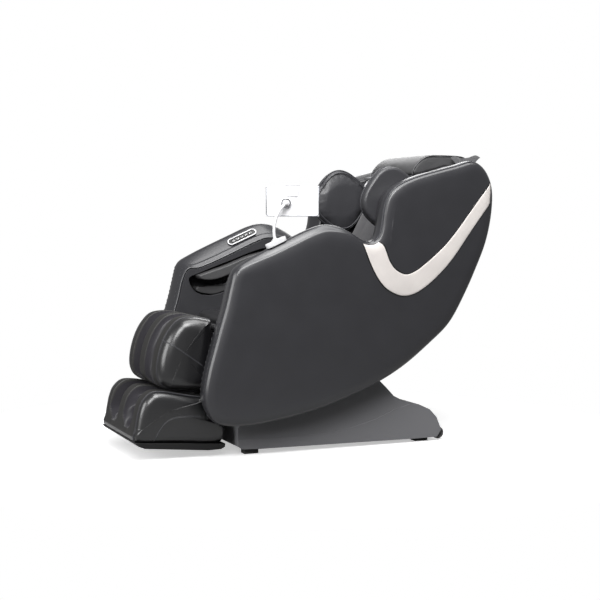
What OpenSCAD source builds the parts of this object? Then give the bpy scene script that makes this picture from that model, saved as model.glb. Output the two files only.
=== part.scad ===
// Massage chair: a one-piece leather chair body that tilts on a floor base, with a lifting
// leg rest, a sliding foot unit, a travelling roller carriage in the back and a swivelling
// phone holder. +Z is up, the chair faces -Y, and +X is the sitter's left.
// The origin is on the floor at the centre of the overall footprint.

/* [Chair body] */
// Half of the clear width between the two inner side faces
inner_half = 262; // [250:1:275]
// Half of the overall width across the side shells
outer_half = 372; // [364:1:390]
// Wall of the moulded side shells, measured across the rim
shell_wall = 9; // [7:0.5:11]
// Thickness of the inner side panels
liner_wall = 6; // [4:0.5:8]
// Thickness of the stripe laid on the outer face
stripe_rise = 1.2; // [0.8:0.1:2]
// Wall of the cover behind the back
back_wall = 5; // [3:0.5:7]

/* [Seat and back] */
// Height of the seat at its front edge
seat_front_h = 526; // [520:1:532]
// Angle at which the seat drops towards the back
seat_slope = 9.4; // [8:0.2:10]
// Thickness of the seat cushion
seat_t = 58; // [52:1:60]
// Length of the seat cushion
seat_l = 462; // [440:1:470]
// Angle of the back from the vertical
back_lean = 28; // [26:0.5:29]
// Length of the back pad
back_l = 690; // [660:1:695]
// Thickness of the back pad
back_t = 36; // [30:1:38]
// Half of the width of the head pillow
pillow_half = 190; // [170:1:230]
// Height of the top of the head pillow, before a longer back lifts it
pillow_top = 1136; // [1130:1:1150]
// Thickness of the shoulder wings across the chair
wing_t = 64; // [50:1:70]

/* [Frame] */
// Width of the square steel tube of the chair frame
tube = 30; // [24:1:32]
// Radius of the tilt shaft
tilt_shaft_r = 10; // [8:0.5:12]
// Radius of the leg rest shaft
leg_shaft_r = 10; // [8:0.5:11]
// Thickness of the steel plates that carry the shafts
plate_t = 8; // [6:0.5:9]

/* [Base] */
// Half of the width of the floor base
base_half = 258; // [250:1:259]
// Wall of the base cover
base_wall = 5; // [3:0.5:6]
// Height of the tilt shaft above the floor
tilt_h = 300; // [296:1:306]
// Height of the rubber feet
foot_h = 28; // [26:1:30]
// Radius of the transport wheels
wheel_r = 24; // [20:0.5:26]
// Width of the transport wheels
wheel_w = 20; // [14:1:24]

/* [Leg rest] */
// Half of the width of the calf rest
calf_half = 230; // [224:1:238]
// Half of the width of the foot unit
foot_half = 240; // [234:1:248]
// Half of the width of the ridge between the two wells
ridge_half = 20; // [16:1:26]
// Width of the padded walls outside the wells
side_wall = 38; // [32:1:44]
// Radius of the rods that the foot unit slides on
rod_r = 8; // [6:0.5:9]
// Radius of the bumps of the foot roller
bump_r = 20; // [16:0.5:22]

/* [Massage carriage] */
// Radius of the massage rollers
roller_r = 27; // [22:0.5:28]
// Width of the massage rollers
roller_w = 24; // [18:0.5:26]
// Radius of the two guide bars in the back
guide_r = 9; // [7:0.5:10]
// Radius of the lead screw
screw_r = 7; // [5:0.5:8]

/* [Keys and holder] */
// Length of the key panel on the armrest
panel_l = 132; // [122:1:150]
// Width of the key panel
panel_w = 34; // [30:1:38]
// Width of the phone holder plate
holder_w = 196; // [160:1:200]
// Height of the phone holder plate
holder_h = 112; // [100:1:118]
// Thickness of the phone holder plate
holder_t = 3; // [2:0.5:4]

/* [Hidden] */
$fn = 48;
clear = 0.3;
run_fit = 0.1;
weld = 2;
tiny = 0.01;
n_keys = 5;

leather = [0.16, 0.16, 0.18];
fabric = [0.23, 0.22, 0.24];
plastic = [0.24, 0.24, 0.25];
steel = [0.62, 0.63, 0.65];
rubber = [0.1, 0.1, 0.1];
cream = [0.91, 0.89, 0.87];
white = [0.95, 0.95, 0.95];

// --- Curves -------------------------------------------------------------------------------

// A point of the smooth curve between b and c, with neighbours a and d.
function curve_at(a, b, c, d, t) =
    0.5 * (2 * b + (c - a) * t + (2 * a - 5 * b + 4 * c - d) * t * t
    + (3 * b - a - 3 * c + d) * t * t * t);

// A closed smooth curve through the points p, with n steps between neighbours.
function closed_curve(p, n) =
    [for (i = [0:len(p) - 1]) for (k = [0:n - 1])
        curve_at(p[(i + len(p) - 1) % len(p)], p[i], p[(i + 1) % len(p)], p[(i + 2) % len(p)], k / n)];

// An open smooth curve through the points p, with n steps between neighbours.
function open_curve(p, n) = let (last = len(p) - 1) concat(
    [for (i = [0:last - 1]) for (k = [0:n - 1])
        curve_at(p[max(i - 1, 0)], p[i], p[i + 1], p[min(i + 2, last)], k / n)], [p[last]]);

// Inward unit normal of the closed outline p at point i, taken over `reach` neighbours.
function inward(p, i, reach) =
    let (n = len(p), a = p[(i + n - reach) % n], b = p[(i + reach) % n],
        t = [b[0] - a[0], b[1] - a[1]])
    [-t[1], t[0]] / norm(t);

// The closed outline p moved inwards by d.
function inset(p, d, reach = 1) =
    [for (i = [0:len(p) - 1]) [p[i][0], p[i][1]] + d * inward(p, i, reach)];

function mean(p) = [sum_of(p, 0), sum_of(p, 1)] / len(p);
function reversed(p) = [for (i = [len(p) - 1:-1:0]) p[i]];
function sum_of(p, c, i = 0) = i == len(p) ? 0 : p[i][c] + sum_of(p, c, i + 1);

// Places an outline drawn in (y, z) at the height x.
function at_x(p, x) = [for (q = p) [x, q[0], q[1]]];

// A closed skin over a chain of rings with the same number of points, between two tips.
// Seen from the head, each ring runs anticlockwise.
module loft(head, rings, tail) {
    n = len(rings[0]);
    m = len(rings);
    points = concat([head], [for (r = rings) for (q = r) q], [tail]);
    caps = [for (i = [0:n - 1]) each [[0, 1 + (i + 1) % n, 1 + i],
        [1 + m * n, 1 + (m - 1) * n + i, 1 + (m - 1) * n + (i + 1) % n]]];
    walls = [for (k = [0:m - 2]) for (i = [0:n - 1])
        let (a = 1 + k * n + i, b = 1 + k * n + (i + 1) % n) each [[a, b, a + n], [b, b + n, a + n]]];
    polyhedron(points, concat(caps, walls));
}

// A plate with the outline p in (y, z), from x0 to x1.
module slab(p, x0, x1) {
    translate([x0, 0, 0]) rotate([90, 0, 90]) linear_extrude(x1 - x0) polygon(p);
}

// A round bar along X.
module bar_x(r, x0, x1, y, z) {
    translate([x0, y, z]) rotate([0, 90, 0]) cylinder(r = r, h = x1 - x0);
}

// A padded block with the outline p in (y, z) from x0 to x1, its ends rounded by `edge`.
// A bent outline needs a heart, a point from which all of it is in sight.
module soft_block(p, x0, x1, edge, heart = undef) {
    steps = [[0, 1], [0.12, 0.5], [0.4, 0.16], [1, 0]];
    c = heart == undef ? mean(p) : heart;
    ends = concat(
        [for (s = steps) at_x(inset(p, edge * s[1]), x1 - edge * s[0])],
        [for (i = [len(steps) - 1:-1:0]) at_x(inset(p, edge * steps[i][1]), x0 + edge * steps[i][0])]);
    loft([x1, c[0], c[1]], ends, [x0, c[0], c[1]]);
}

// A cushion on the XY plane: drawn-in sides, rounded edges and a crowned top.
module pad(w, l, h, crown, squareness = 5, n = 32) {
    steps = [[0, 0.3], [0.12, 0.1], [0.45, 0], [0.8, 0.08], [0.97, 0.3]];
    side = h * 0.8;
    loft([0, 0, 0], concat(
        [for (s = steps) rounded_ring(w / 2 - side * s[1], l / 2 - side * s[1], squareness, h * s[0], n)],
        [for (s = [0.72, 0.4]) rounded_ring(w / 2 * s, l / 2 * s, squareness, h + crown * (1 - s * s), n)]),
        [0, 0, h + crown]);
}

// A squared oval of half sizes a and b at height z, listed clockwise.
function rounded_ring(a, b, e, z, n) =
    [for (i = [0:n - 1]) let (t = -360 * (i + 0.5) / n)
        [a * sign(cos(t)) * pow(abs(cos(t)), 2 / e), b * sign(sin(t)) * pow(abs(sin(t)), 2 / e), z]];

module both_sides() {
    children();
    mirror([1, 0, 0]) children();
}

// --- Places that follow the sizes ---------------------------------------------------------

// The outlines in (y, z) are drawn for these sizes, and fitted() carries them along with a change.
drawn_seat_h = 526;
drawn_seat_l = 462;
drawn_back_l = 690;
front_move = (drawn_seat_l - seat_l) * cos(seat_slope);
lift = seat_front_h - drawn_seat_h;
head_move = (back_l - drawn_back_l) * [sin(back_lean), cos(back_lean)];
seat_front_y = -324 + front_move;
back_foot = [150, seat_front_h - 106];
function ramp(a, b, v) = min(1, max(0, (v - a) / (b - a)));
function fitted(p) =
    let (run = (p - [150, 420]) * [sin(back_lean), cos(back_lean)],
        head = ramp(400, 640, run) * head_move)
    p + head + [front_move * ramp(-150, -320, p[0]), lift * ramp(300, 440, p[1])];
function fit(points) = [for (p = points) fitted(p)];

// --- Side outline -------------------------------------------------------------------------

// Silhouette of a side shell: y, z and how far the inner edge stands in from the silhouette.
side_drawn = [[-484, 247, 14], [-473, 190, 16], [-440, 145, 20], [-385, 128, 20], [-300, 126, 20],
    [-190, 140, 20], [-60, 165, 20], [80, 207, 20], [210, 257, 20], [325, 319, 20], [435, 401, 20],
    [522, 478, 20], [590, 590, 20], [640, 691, 20], [680, 785, 20], [703, 880, 20], [710, 970, 22],
    [697, 1033, 24], [663, 1083, 26], [612, 1105, 26], [540, 1087, 24], [450, 1065, 22],
    [360, 1040, 20], [290, 1010, 20], [246, 970, 20], [228, 915, 20], [219, 855, 20],
    [203, 812, 22], [174, 796, 30], [140, 806, 38], [95, 833, 44], [45, 854, 50], [-10, 859, 54],
    [-70, 843, 56], [-150, 808, 56], [-240, 768, 56], [-320, 729, 48], [-366, 697, 26],
    [-384, 640, 14], [-401, 570, 14], [-425, 490, 14], [-450, 405, 14], [-472, 325, 14]];
side_points = [for (p = side_drawn) let (q = fitted([p[0], p[1]])) [q[0], q[1], p[2]]];
side_steps = 2;
side_line = closed_curve(side_points, side_steps);
side_n = len(side_line);
normal_reach = 2;
side_hub = [250, 650];

// Point i of the silhouette, moved in by d and by its own share k of the inner edge's inset.
function side_at(i, d, k = 0) =
    [side_line[i][0], side_line[i][1]] + (d + k * side_line[i][2]) * inward(side_line, i, normal_reach);
function side_ring(d, k = 0) = [for (i = [0:side_n - 1]) side_at(i, d, k)];

// Distance of the crest of the silhouette from the middle of the outer face
ridge_drop = 48;
// Outer face rings, from the middle of the face to the crest: x, inset, share, scale.
bulge = [[0.5, 32, 0, 0.6], [2.6, 32, 0, 1], [7, 14, 0, 1], [20, 2, 0, 1], [ridge_drop, 0, 0, 1]];
function to_hub(p, s) = [for (q = p) side_hub + (q - side_hub) * s];
face_rings = [for (b = bulge) at_x(to_hub(side_ring(b[1], b[2]), b[3]), outer_half - b[0])];

module side_shell() {
    rim_x = inner_half;
    inner_rings = [
        at_x(side_ring(0, 1), rim_x),
        at_x(side_ring(shell_wall, 1), rim_x),
        at_x(side_ring(shell_wall + 2), outer_half - ridge_drop),
        at_x(side_ring(16), outer_half - 25),
        at_x(side_ring(36), outer_half - 2.6 - shell_wall)];
    loft([outer_half, side_hub[0], side_hub[1]], concat(face_rings, inner_rings),
        [outer_half - 2.6 - shell_wall, side_hub[0], side_hub[1]]);
}

// --- Stripe -------------------------------------------------------------------------------

// Lower and upper edge of the stripe, from the notch behind the armrest to the rear edge.
stripe_low = [[142, 788], [163, 731], [193, 671], [224, 630], [260, 604], [306, 589], [358, 597],
    [416, 630], [479, 683], [531, 740], [584, 810], [638, 880], [686, 939]];
stripe_high = [[206, 793], [226, 776], [249, 721], [275, 688], [316, 669], [358, 680], [410, 714],
    [478, 769], [531, 824], [584, 889], [637, 955], [663, 985], [686, 1010]];

function cross2(a, b) = a[0] * b[1] - a[1] * b[0];
// Height x of the triangle a, b, c over the point p, or undef beside it.
function over(p, a, b, c) =
    let (e = [b[1] - a[1], b[2] - a[2]], f = [c[1] - a[1], c[2] - a[2]],
        g = [p[0] - a[1], p[1] - a[2]], d = cross2(e, f), u = cross2(g, f) / d, v = cross2(e, g) / d)
    u >= -tiny && v >= -tiny && u + v <= 1 + tiny ? a[0] + u * (b[0] - a[0]) + v * (c[0] - a[0]) : undef;

// Height x of the outer face over the point p, which is [y, z].
function face_x(p) =
    let (hub = [outer_half, side_hub[0], side_hub[1]],
        hits = [for (i = [0:side_n - 1]) let (j = (i + 1) % side_n) each [
            over(p, hub, face_rings[0][i], face_rings[0][j]),
            for (k = [0:2]) each [over(p, face_rings[k][i], face_rings[k + 1][i], face_rings[k][j]),
                over(p, face_rings[k][j], face_rings[k + 1][i], face_rings[k + 1][j])]]],
        found = [for (h = hits) if (h != undef) h])
    max(found);

module side_stripe() {
    low = open_curve(fit(stripe_low), 3);
    high = open_curve(fit(stripe_high), 3);
    seat_gap = 1.2;
    sag = [0, -9];
    last = len(low) - 1;
    across = 4;
    rows = [for (j = [0:last]) [for (k = [0:across]) let (t = k / across)
        low[j] + t * (high[j] - low[j]) + 4 * t * (1 - t) * max(0, 1 - j / 3) * sag]];
    skin = [for (r = rows) [for (q = r) [face_x(q), q[0], q[1]]]];
    rings = [for (s = skin) concat([for (q = s) q + [seat_gap, 0, 0]],
        [for (k = [across:-1:0]) s[k] + [seat_gap + stripe_rise, 0, 0]])];
    ends = [for (r = [rings[0], rings[last]]) (r[across / 2] + r[across + 1 + across / 2]) / 2];
    loft(ends[0], rings, ends[1]);
}

// --- Inner side panel ---------------------------------------------------------------------

liner_x = inner_half + 1;
pocket_wall = 4;
pocket_x = outer_half - 27;
slot_line = closed_curve(fit([[-338, 628], [-318, 590], [-280, 571], [-225, 570], [-140, 596], [-50, 638],
    [15, 682], [34, 728], [0, 758], [-74, 740], [-150, 712], [-230, 684], [-300, 657], [-331, 645]]), 3);

module side_liner() {
    difference() {
        union() {
            slab(side_ring(shell_wall + clear, 1), liner_x, liner_x + liner_wall);
            slab(inset(slot_line, -pocket_wall), liner_x + liner_wall, pocket_x + pocket_wall);
        }
        slab(slot_line, liner_x - 1, pocket_x);
    }
}

arm_pad_out = 222;
module arm_pad() {
    edge = 4;
    upper = closed_curve(fit([[-305, 650], [-298, 639], [-280, 634], [-240, 634], [-180, 651], [-90, 690],
        [-20, 722], [-6, 732], [-8, 743], [-22, 744], [-90, 725], [-180, 692], [-285, 659], [-299, 656]]), 2);
    lower = closed_curve(fit([[-300, 590], [-286, 578], [-262, 574], [-215, 574], [-140, 600], [-50, 642],
        [-14, 662], [-4, 676], [-18, 684], [-60, 666], [-140, 626], [-215, 601], [-262, 600], [-288, 602]]), 2);
    soft_block(upper, arm_pad_out, pocket_x - clear, edge);
    soft_block(lower, liner_x + liner_wall, pocket_x - clear, edge, fitted([-175, 597]));
}

// --- Seat and back ------------------------------------------------------------------------

pan_t = 3;
// Local frame of the seat: y along the seat towards the back, z out of it.
module on_seat() {
    translate([0, seat_front_y, seat_front_h]) rotate([-seat_slope, 0, 0]) children();
}

// Local frame of the back: y away from the sitter, z up along the back.
module on_back() {
    translate([0, back_foot[0], back_foot[1]]) rotate([-back_lean, 0, 0]) children();
}
function back_point(y, z) = back_foot + [y * cos(back_lean) + z * sin(back_lean),
    z * cos(back_lean) - y * sin(back_lean)];

pad_crown = 8;
module seat_cushion() {
    on_seat() translate([0, seat_l / 2, -seat_t - pad_crown])
        pad(2 * (inner_half - 14), seat_l, seat_t, pad_crown);
}

valance_foot = seat_front_y + 12;
valance_head = seat_front_y + 22;
module seat_valance() {
    low = 235;
    depth = 5;
    foot = valance_foot;
    head = valance_head;
    high = rail_z(head) - tube / 2 / cos(seat_slope) - clear;
    half = inner_half - 12;
    drive_gap = 30;
    difference() {
        slab([[foot, low], [foot + depth, low], [head, high], [head - depth, high]], -half, half);
        // Way through for the leg actuator
        translate([-drive_gap, foot - depth, high - 30]) cube([2 * drive_gap, 40, 40]);
    }
}

back_low = 18;
back_high = 42;
back_inset = 14;
// The cover reaches this far past the inner faces, into the rounded rear edge of each shell.
back_lap = 2;
module back_shell() {
    outer = [for (i = [back_low:back_high]) side_at(i, back_inset)];
    inner = [for (i = [back_high:-1:back_low]) side_at(i, back_inset + back_wall)];
    slab(concat(outer, inner), -inner_half - back_lap, inner_half + back_lap);
}

module back_pad() {
    foot_gap = 10;
    on_back() translate([0, back_t, foot_gap + back_l / 2]) rotate([90, 0, 0])
        pad(2 * 215, back_l, back_t, pad_crown);
}

module head_pillow() {
    rest_gap = 2.5;
    edge = 9;
    deck = [for (i = [42:-2:36]) side_at(i, back_inset - rest_gap)];
    top = fit([[684, 1068], [697, pillow_top - 38], [690, pillow_top - 12], [660, pillow_top],
        [590, pillow_top + 1], [522, pillow_top - 2], [480, pillow_top - 18], [447, pillow_top - 48],
        [437, 1064]]);
    soft_block(closed_curve(concat(deck, top), 2), -pillow_half, pillow_half, edge);
}

wing_mid = [-118, back_l - 140];
module shoulder_wing() {
    on_back() translate([inner_half - clear, wing_mid[0], wing_mid[1]]) rotate([0, -90, 0]) rotate([0, 0, 8])
        pad(252, 226, wing_t - pad_crown, pad_crown, 2.7);
}

speaker_r = 45;
speaker_at = fitted([490, 1004]);
module speakers() {
    deep = 10;
    both_sides() translate([inner_half - clear, speaker_at[0], speaker_at[1]]) rotate([0, -90, 0]) rotate_extrude()
        polygon([[0, 0], [speaker_r, 0], [speaker_r, deep - 3], [speaker_r - 3, deep], [speaker_r - 8, deep],
            [speaker_r - 12, deep - 5], [16, 3], [12, 5], [0, 7]]);
}

// --- Frame of the chair body --------------------------------------------------------------

tilt_y = 60;
tilt_range = 20;
tilt_lever = 150;
rail_x = inner_half - 42;
lug_x = 158;
lever_gap = 8;
tilt_pin_r = 8;
tilt_pin = [tilt_y + tilt_lever * sin(tilt_range / 2), tilt_h - tilt_lever * cos(tilt_range / 2)];
tilt_pin_slack = 3;
rail_top = -seat_t - pan_t - 2 * clear - pad_crown;
// Height of the middle of the seat rails at y.
function rail_z(y) = seat_front_h + (rail_top - tube / 2) / cos(seat_slope) - (y - seat_front_y) * tan(seat_slope);

leg_pivot = [seat_front_y - 41, seat_front_h - 56];
leg_range = 75;
leg_lever = 40;
leg_pin_r = 5;
leg_pin_slack = 4.5;
leg_swing = seat_slope - leg_range / 2;
leg_pin = leg_pivot + leg_lever * [-sin(leg_swing), -cos(leg_swing)];
bracket_x = rail_x - tube / 2;
// The actuator's line lies halfway into the arc that the lever pin swings through.
leg_line_y = leg_lever * (1 - cos(leg_range / 2)) / 2;
leg_house_r = 22;
leg_house_gap = 42;
leg_eye_r = 10;
leg_eye_x = 5;
leg_eye_l = 24;
leg_house_l = 190;
leg_house_top = (leg_pin[1] - seat_front_h) * cos(seat_slope) + (leg_pin[0] - seat_front_y) * sin(seat_slope)
    - leg_line_y + leg_house_r;

upright_y = 125;
bar_low = 30;
bar_high = back_l - 20;
// The uprights reach down through the rails, and the rails back under the uprights.
upright_low = -tube / 2 + (rail_z(back_foot[0] + upright_y * cos(back_lean)) - back_foot[1]
    + upright_y * sin(back_lean)) / (cos(back_lean) + sin(back_lean) * tan(seat_slope));
rail_l = (back_point(upright_y, upright_low)[0] - seat_front_y) / cos(seat_slope) + tube;
// The rear cross tube of the seat stands clear behind the shaft stands.
cross_l = [310, (tilt_y + 34 - seat_front_y) / cos(seat_slope) + 16];
screw_y = 160;
guide_x = 100;

module square_tube(p) {
    // p is the box of the tube as [low corner, size].
    translate(p[0]) cube(p[1]);
}

module body_frame() {
    color(steel) difference() {
        union() {
            // Seat rails, pan and cross tubes
            on_seat() {
                both_sides() square_tube([[rail_x - tube / 2, 20, rail_top - tube], [tube, rail_l - 20, tube]]);
                square_tube([[-rail_x - tube / 2, 8, rail_top], [2 * rail_x + tube, seat_l - 20, pan_t]]);
                for (y = cross_l)
                    square_tube([[-rail_x, y, rail_top - tube], [2 * rail_x, tube, tube]]);
                both_sides() square_tube([[rail_x + tube / 2 - tiny, 120, rail_top - tube],
                    [liner_x - clear - rail_x - tube / 2, 60, tube]]);
            }
            // Back uprights and cross tubes
            on_back() {
                both_sides() square_tube([[rail_x - tube / 2, upright_y - tube / 2, upright_low], [tube, tube, back_l - upright_low]]);
                both_sides() square_tube([[rail_x + tube / 2 - tiny, upright_y - tube / 2, 420],
                    [liner_x - clear - rail_x - tube / 2, tube, 60]]);
                for (z = [bar_low - tube / 2, bar_high - tube / 2])
                    square_tube([[-rail_x, upright_y - tube / 2, z], [2 * rail_x, tube, tube]]);
                // Carriers of the back pad
                for (z = [60, back_l - 90]) both_sides()
                    square_tube([[rail_x - tube, back_t + clear, z], [tube, upright_y - back_t, 40]]);
                square_tube([[-18, upright_y, bar_high - tube / 2], [36, 54, tube]]);
            }
            // Brackets of the leg rest shaft
            both_sides() {
                slab([[leg_pivot[0], leg_pivot[1] - 18], [valance_foot - 6, rail_z(valance_foot) - tube / 2 + 2],
                    [valance_head + 12, rail_z(valance_foot) - tube / 2 + 2],
                    [valance_head + 12, rail_z(valance_head)], [leg_pivot[0], leg_pivot[1] + 10]],
                    bracket_x - plate_t, bracket_x + weld);
                bar_x(18, bracket_x - plate_t, bracket_x + weld, leg_pivot[0], leg_pivot[1]);
            }
            // Lugs on the tilt shaft
            both_sides() {
                slab([[-22, rail_z(-22)], [108, rail_z(108)], [tilt_y + 20, tilt_h - 8], [tilt_y - 20, tilt_h - 8]],
                    lug_x - plate_t, lug_x);
                bar_x(24, lug_x - plate_t, lug_x, tilt_y, tilt_h);
                slab([[-14, rail_z(-14)], [108, rail_z(108)], [tilt_y + 26, tilt_h - 10], tilt_pin + [18, 0], tilt_pin - [18, 0],
                    [tilt_y - 26, tilt_h - 10]], lever_gap, lever_gap + plate_t);
                bar_x(18, lever_gap, lever_gap + plate_t, tilt_pin[0], tilt_pin[1]);
            }
            // Cradle of the leg actuator
            on_seat() square_tube([[-14, 190, leg_house_top + clear], [28, 30, rail_top - leg_house_top + 1]]);
        }
        both_sides() bar_x(leg_shaft_r + run_fit, bracket_x - 2 * plate_t, bracket_x + 3, leg_pivot[0], leg_pivot[1]);
        bar_x(tilt_shaft_r + run_fit, -inner_half, inner_half, tilt_y, tilt_h);
        bar_x(tilt_pin_r + tilt_pin_slack, -2 * lug_x, 2 * lug_x, tilt_pin[0], tilt_pin[1]);
        on_back() {
            both_sides() translate([guide_x, upright_y, 0]) cylinder(r = guide_r + run_fit, h = back_l + tube);
            translate([0, screw_y, bar_high - tube]) cylinder(r = screw_r + run_fit, h = 2 * tube);
        }
    }
}

module legrest_shaft() {
    color(steel) bar_x(leg_shaft_r, -bracket_x - 1, bracket_x + 1, leg_pivot[0], leg_pivot[1]);
}

// --- Leg actuator -------------------------------------------------------------------------

// Local frame of the leg actuator: y back along the rod from the pin.
module on_leg_drive() {
    translate([0, leg_pin[0], leg_pin[1]]) rotate([-seat_slope, 0, 0]) translate([0, 0, -leg_line_y])
        children();
}
module rod_along_y(r, y0, y1) {
    translate([0, y0, 0]) rotate([-90, 0, 0]) cylinder(r = r, h = y1 - y0);
}

module leg_actuator() {
    color(plastic) on_leg_drive() difference() {
        union() {
            rod_along_y(leg_house_r, leg_house_gap, leg_house_gap + leg_house_l);
            translate([0, 0, -38]) rod_along_y(leg_house_r - 2, leg_house_gap + 40, leg_house_gap + 150);
            translate([-leg_house_r, leg_house_gap + 130, -48]) cube([2 * leg_house_r, 50, 48]);
        }
        rod_along_y(rod_r + run_fit, leg_house_gap - 1, leg_house_gap + leg_house_l - 12);
    }
}

module leg_rod() {
    color(steel) on_leg_drive() {
        rod_along_y(rod_r, leg_eye_l, leg_house_gap + leg_house_l - 40);
        bar_x(leg_eye_r, -leg_eye_x, leg_eye_x, 0, 0);
        neck = rod_r - 1;
        slab([[0, -neck], [leg_eye_l + weld, -neck], [leg_eye_l + weld, neck], [0, neck]], -leg_eye_x, leg_eye_x);
        bar_x(leg_pin_r, -15, 15, 0, 0);
    }
}

// --- Leg rest -----------------------------------------------------------------------------

calf_rear = -395;
calf_line = reversed(closed_curve(fit([[-579, 268], [-597, 296], [-604, 345], [-595, 396], [-574, 441], [-546, 489],
    [-518, 516], [-480, 524], [-437, 516], [-408, 500], [calf_rear, 470], [calf_rear, 400],
    [calf_rear, 320], [-396, 260], [-420, 243], [-467, 242], [-525, 250]]), 2));
// Cross sections of a well, as floor point and rim point in (y, z), from the top down.
calf_wells = [[[-388, 494], [-392, 507]], [[-440, 488], [-452, 522]], [[-482, 470], [-512, 519]],
    [[-505, 436], [-553, 481]], [[-520, 395], [-581, 428]], [[-530, 350], [-600, 368]],
    [[-534, 310], [-602, 312]], [[-530, 272], [-586, 274]], [[-520, 236], [-572, 240]]];
foot_wells = [[[-418, 182], [-424, 224]], [[-462, 172], [-480, 231]], [[-500, 164], [-534, 242]],
    [[-540, 156], [-592, 253]], [[-575, 148], [-640, 252]], [[-605, 138], [-672, 226]],
    [[-632, 128], [-690, 188]], [[-662, 118], [-698, 152]], [[-700, 100], [-712, 108]]];

function floors(wells) = open_curve([for (w = wells) fitted(w[0])], 2);
function rims(wells) = open_curve([for (w = wells) fitted(w[1])], 2);

// The space that a pair of wells takes out of the shell of half width `half`.
module well_cut(wells, half) {
    reach = 3;
    f = floors(wells);
    r = rims(wells);
    far = [for (i = [len(f) - 1:-1:0]) f[i] + (r[i] - f[i]) * reach];
    both_sides() slab(concat(f, far), ridge_half, half - side_wall);
}

// A padded trough that lines one well: a U section carried along the well.
module trough(wells, half) {
    wall = 0.16;
    sag = 0.3;
    f = floors(wells);
    r = rims(wells);
    x0 = ridge_half + clear;
    x1 = half - side_wall - clear;
    mid = (x0 + x1) / 2;
    w = (x1 - x0) / 2;
    dip = [-1, -0.75, -0.5, -0.25, 0, 0.25, 0.5, 0.75, 1];
    profile = concat([[-1, 0], [-1, 0.93]],
        [for (t = dip) [t * (1 - wall), sag + (0.96 - sag) * pow(abs(t), 2.4)]], [[1, 0.93], [1, 0]]);
    trim = 1;
    rings = [for (i = [trim:len(f) - 1 - trim])
        let (lift = (r[i] - f[i]) / norm(r[i] - f[i]) * clear)
        [for (q = profile) let (p = f[i] + lift + (r[i] - f[i]) * q[1]) [mid + w * q[0], p[0], p[1]]]];
    n = len(rings) - 1;
    loft(tip(rings[0]), rings, tip(rings[n]));
}
function tip(ring) = (ring[0] + ring[len(ring) - 1] + ring[6] + ring[6]) / 4;

module calf_shell() {
    difference() {
        soft_block(calf_line, -calf_half, calf_half, 22);
        well_cut(calf_wells, calf_half);
    }
}

module calf_pads() {
    trough(calf_wells, calf_half);
    mirror([1, 0, 0]) trough(calf_wells, calf_half);
}

rail_rod_x = 120;
rod_lean = 7.3;
rod_line_y = -378.5 + front_move;
// Local frame of the foot slide: z up along the rods.
module on_foot_slide() {
    translate([0, rod_line_y, 300]) rotate([-rod_lean, 0, 0]) children();
}

module calf_frame() {
    sleeve_r = leg_shaft_r + 6;
    arm_x = bracket_x - plate_t - 2;
    arm_t = plate_t;
    // The cover swells a little past calf_rear between its points.
    swell = 0.45;
    arm_rear = calf_rear + front_move + swell + clear;
    arm_low = 262;
    difference() {
        union() {
            bar_x(sleeve_r, -arm_x, arm_x, leg_pivot[0], leg_pivot[1]);
            both_sides() slab([[leg_pivot[0] - 14, leg_pivot[1]], [leg_pivot[0] - 25, leg_pivot[1] - 30],
                [arm_rear, arm_low], [arm_rear + 24, arm_low], [leg_pivot[0] + 9, leg_pivot[1] - 30],
                [leg_pivot[0] + 14, leg_pivot[1]]], arm_x - arm_t, arm_x);
            on_foot_slide() {
                for (z = [-28, 70])
                    translate([-arm_x + tiny, -11, z]) cube([2 * arm_x - 2 * tiny, 22, 22]);
                both_sides() translate([rail_rod_x, 0, -34]) cylinder(r = rod_r + 3, h = 134);
            }
            both_sides() {
                slab([leg_pivot + [-12, 6], leg_pivot + [12, 6], leg_pin + [13, 4], leg_pin - [13, 4]], 6, 6 + plate_t);
                bar_x(leg_pin_r + leg_pin_slack + 5, 6, 6 + plate_t, leg_pin[0], leg_pin[1]);
            }
        }
        bar_x(leg_shaft_r + run_fit, -inner_half, inner_half, leg_pivot[0], leg_pivot[1]);
        bar_x(leg_pin_r + leg_pin_slack, -arm_x / 2, arm_x / 2, leg_pin[0], leg_pin[1]);
        on_foot_slide() both_sides() translate([rail_rod_x, 0, -60]) cylinder(r = rod_r + run_fit, h = 220);
    }
}

foot_step = 135;
foot_floor = [[-706, 71], [-362, 47]];
foot_line = reversed(fit(concat(open_curve([[-706, 71], [-704, 105], [-698, 145], [-690, 186], [-673, 224],
    [-650, 248], [-618, 256], [-575, 251], [-520, 239], [-425, 223]], 2),
    [[-425, foot_step], [-362, foot_step], foot_floor[1]])));
roller_at = fitted([-560, 103]);

module foot_shell() {
    difference() {
        soft_block(foot_line, -foot_half, foot_half, 16, fitted([-520, 120]));
        well_cut(foot_wells, foot_half);
        // Chamber of the foot roller, open to the tray
        half = foot_half - side_wall;
        bar_x(bump_r + 4, -half, half, roller_at[0], roller_at[1]);
        slab([[roller_at[0] - bump_r - 4, 30], [roller_at[0] + bump_r + 4, 30],
            [roller_at[0] + bump_r + 4, roller_at[1]], [roller_at[0] - bump_r - 4, roller_at[1]]], -half, half);
    }
}

module foot_pads() {
    trough(foot_wells, foot_half);
    mirror([1, 0, 0]) trough(foot_wells, foot_half);
}

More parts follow.
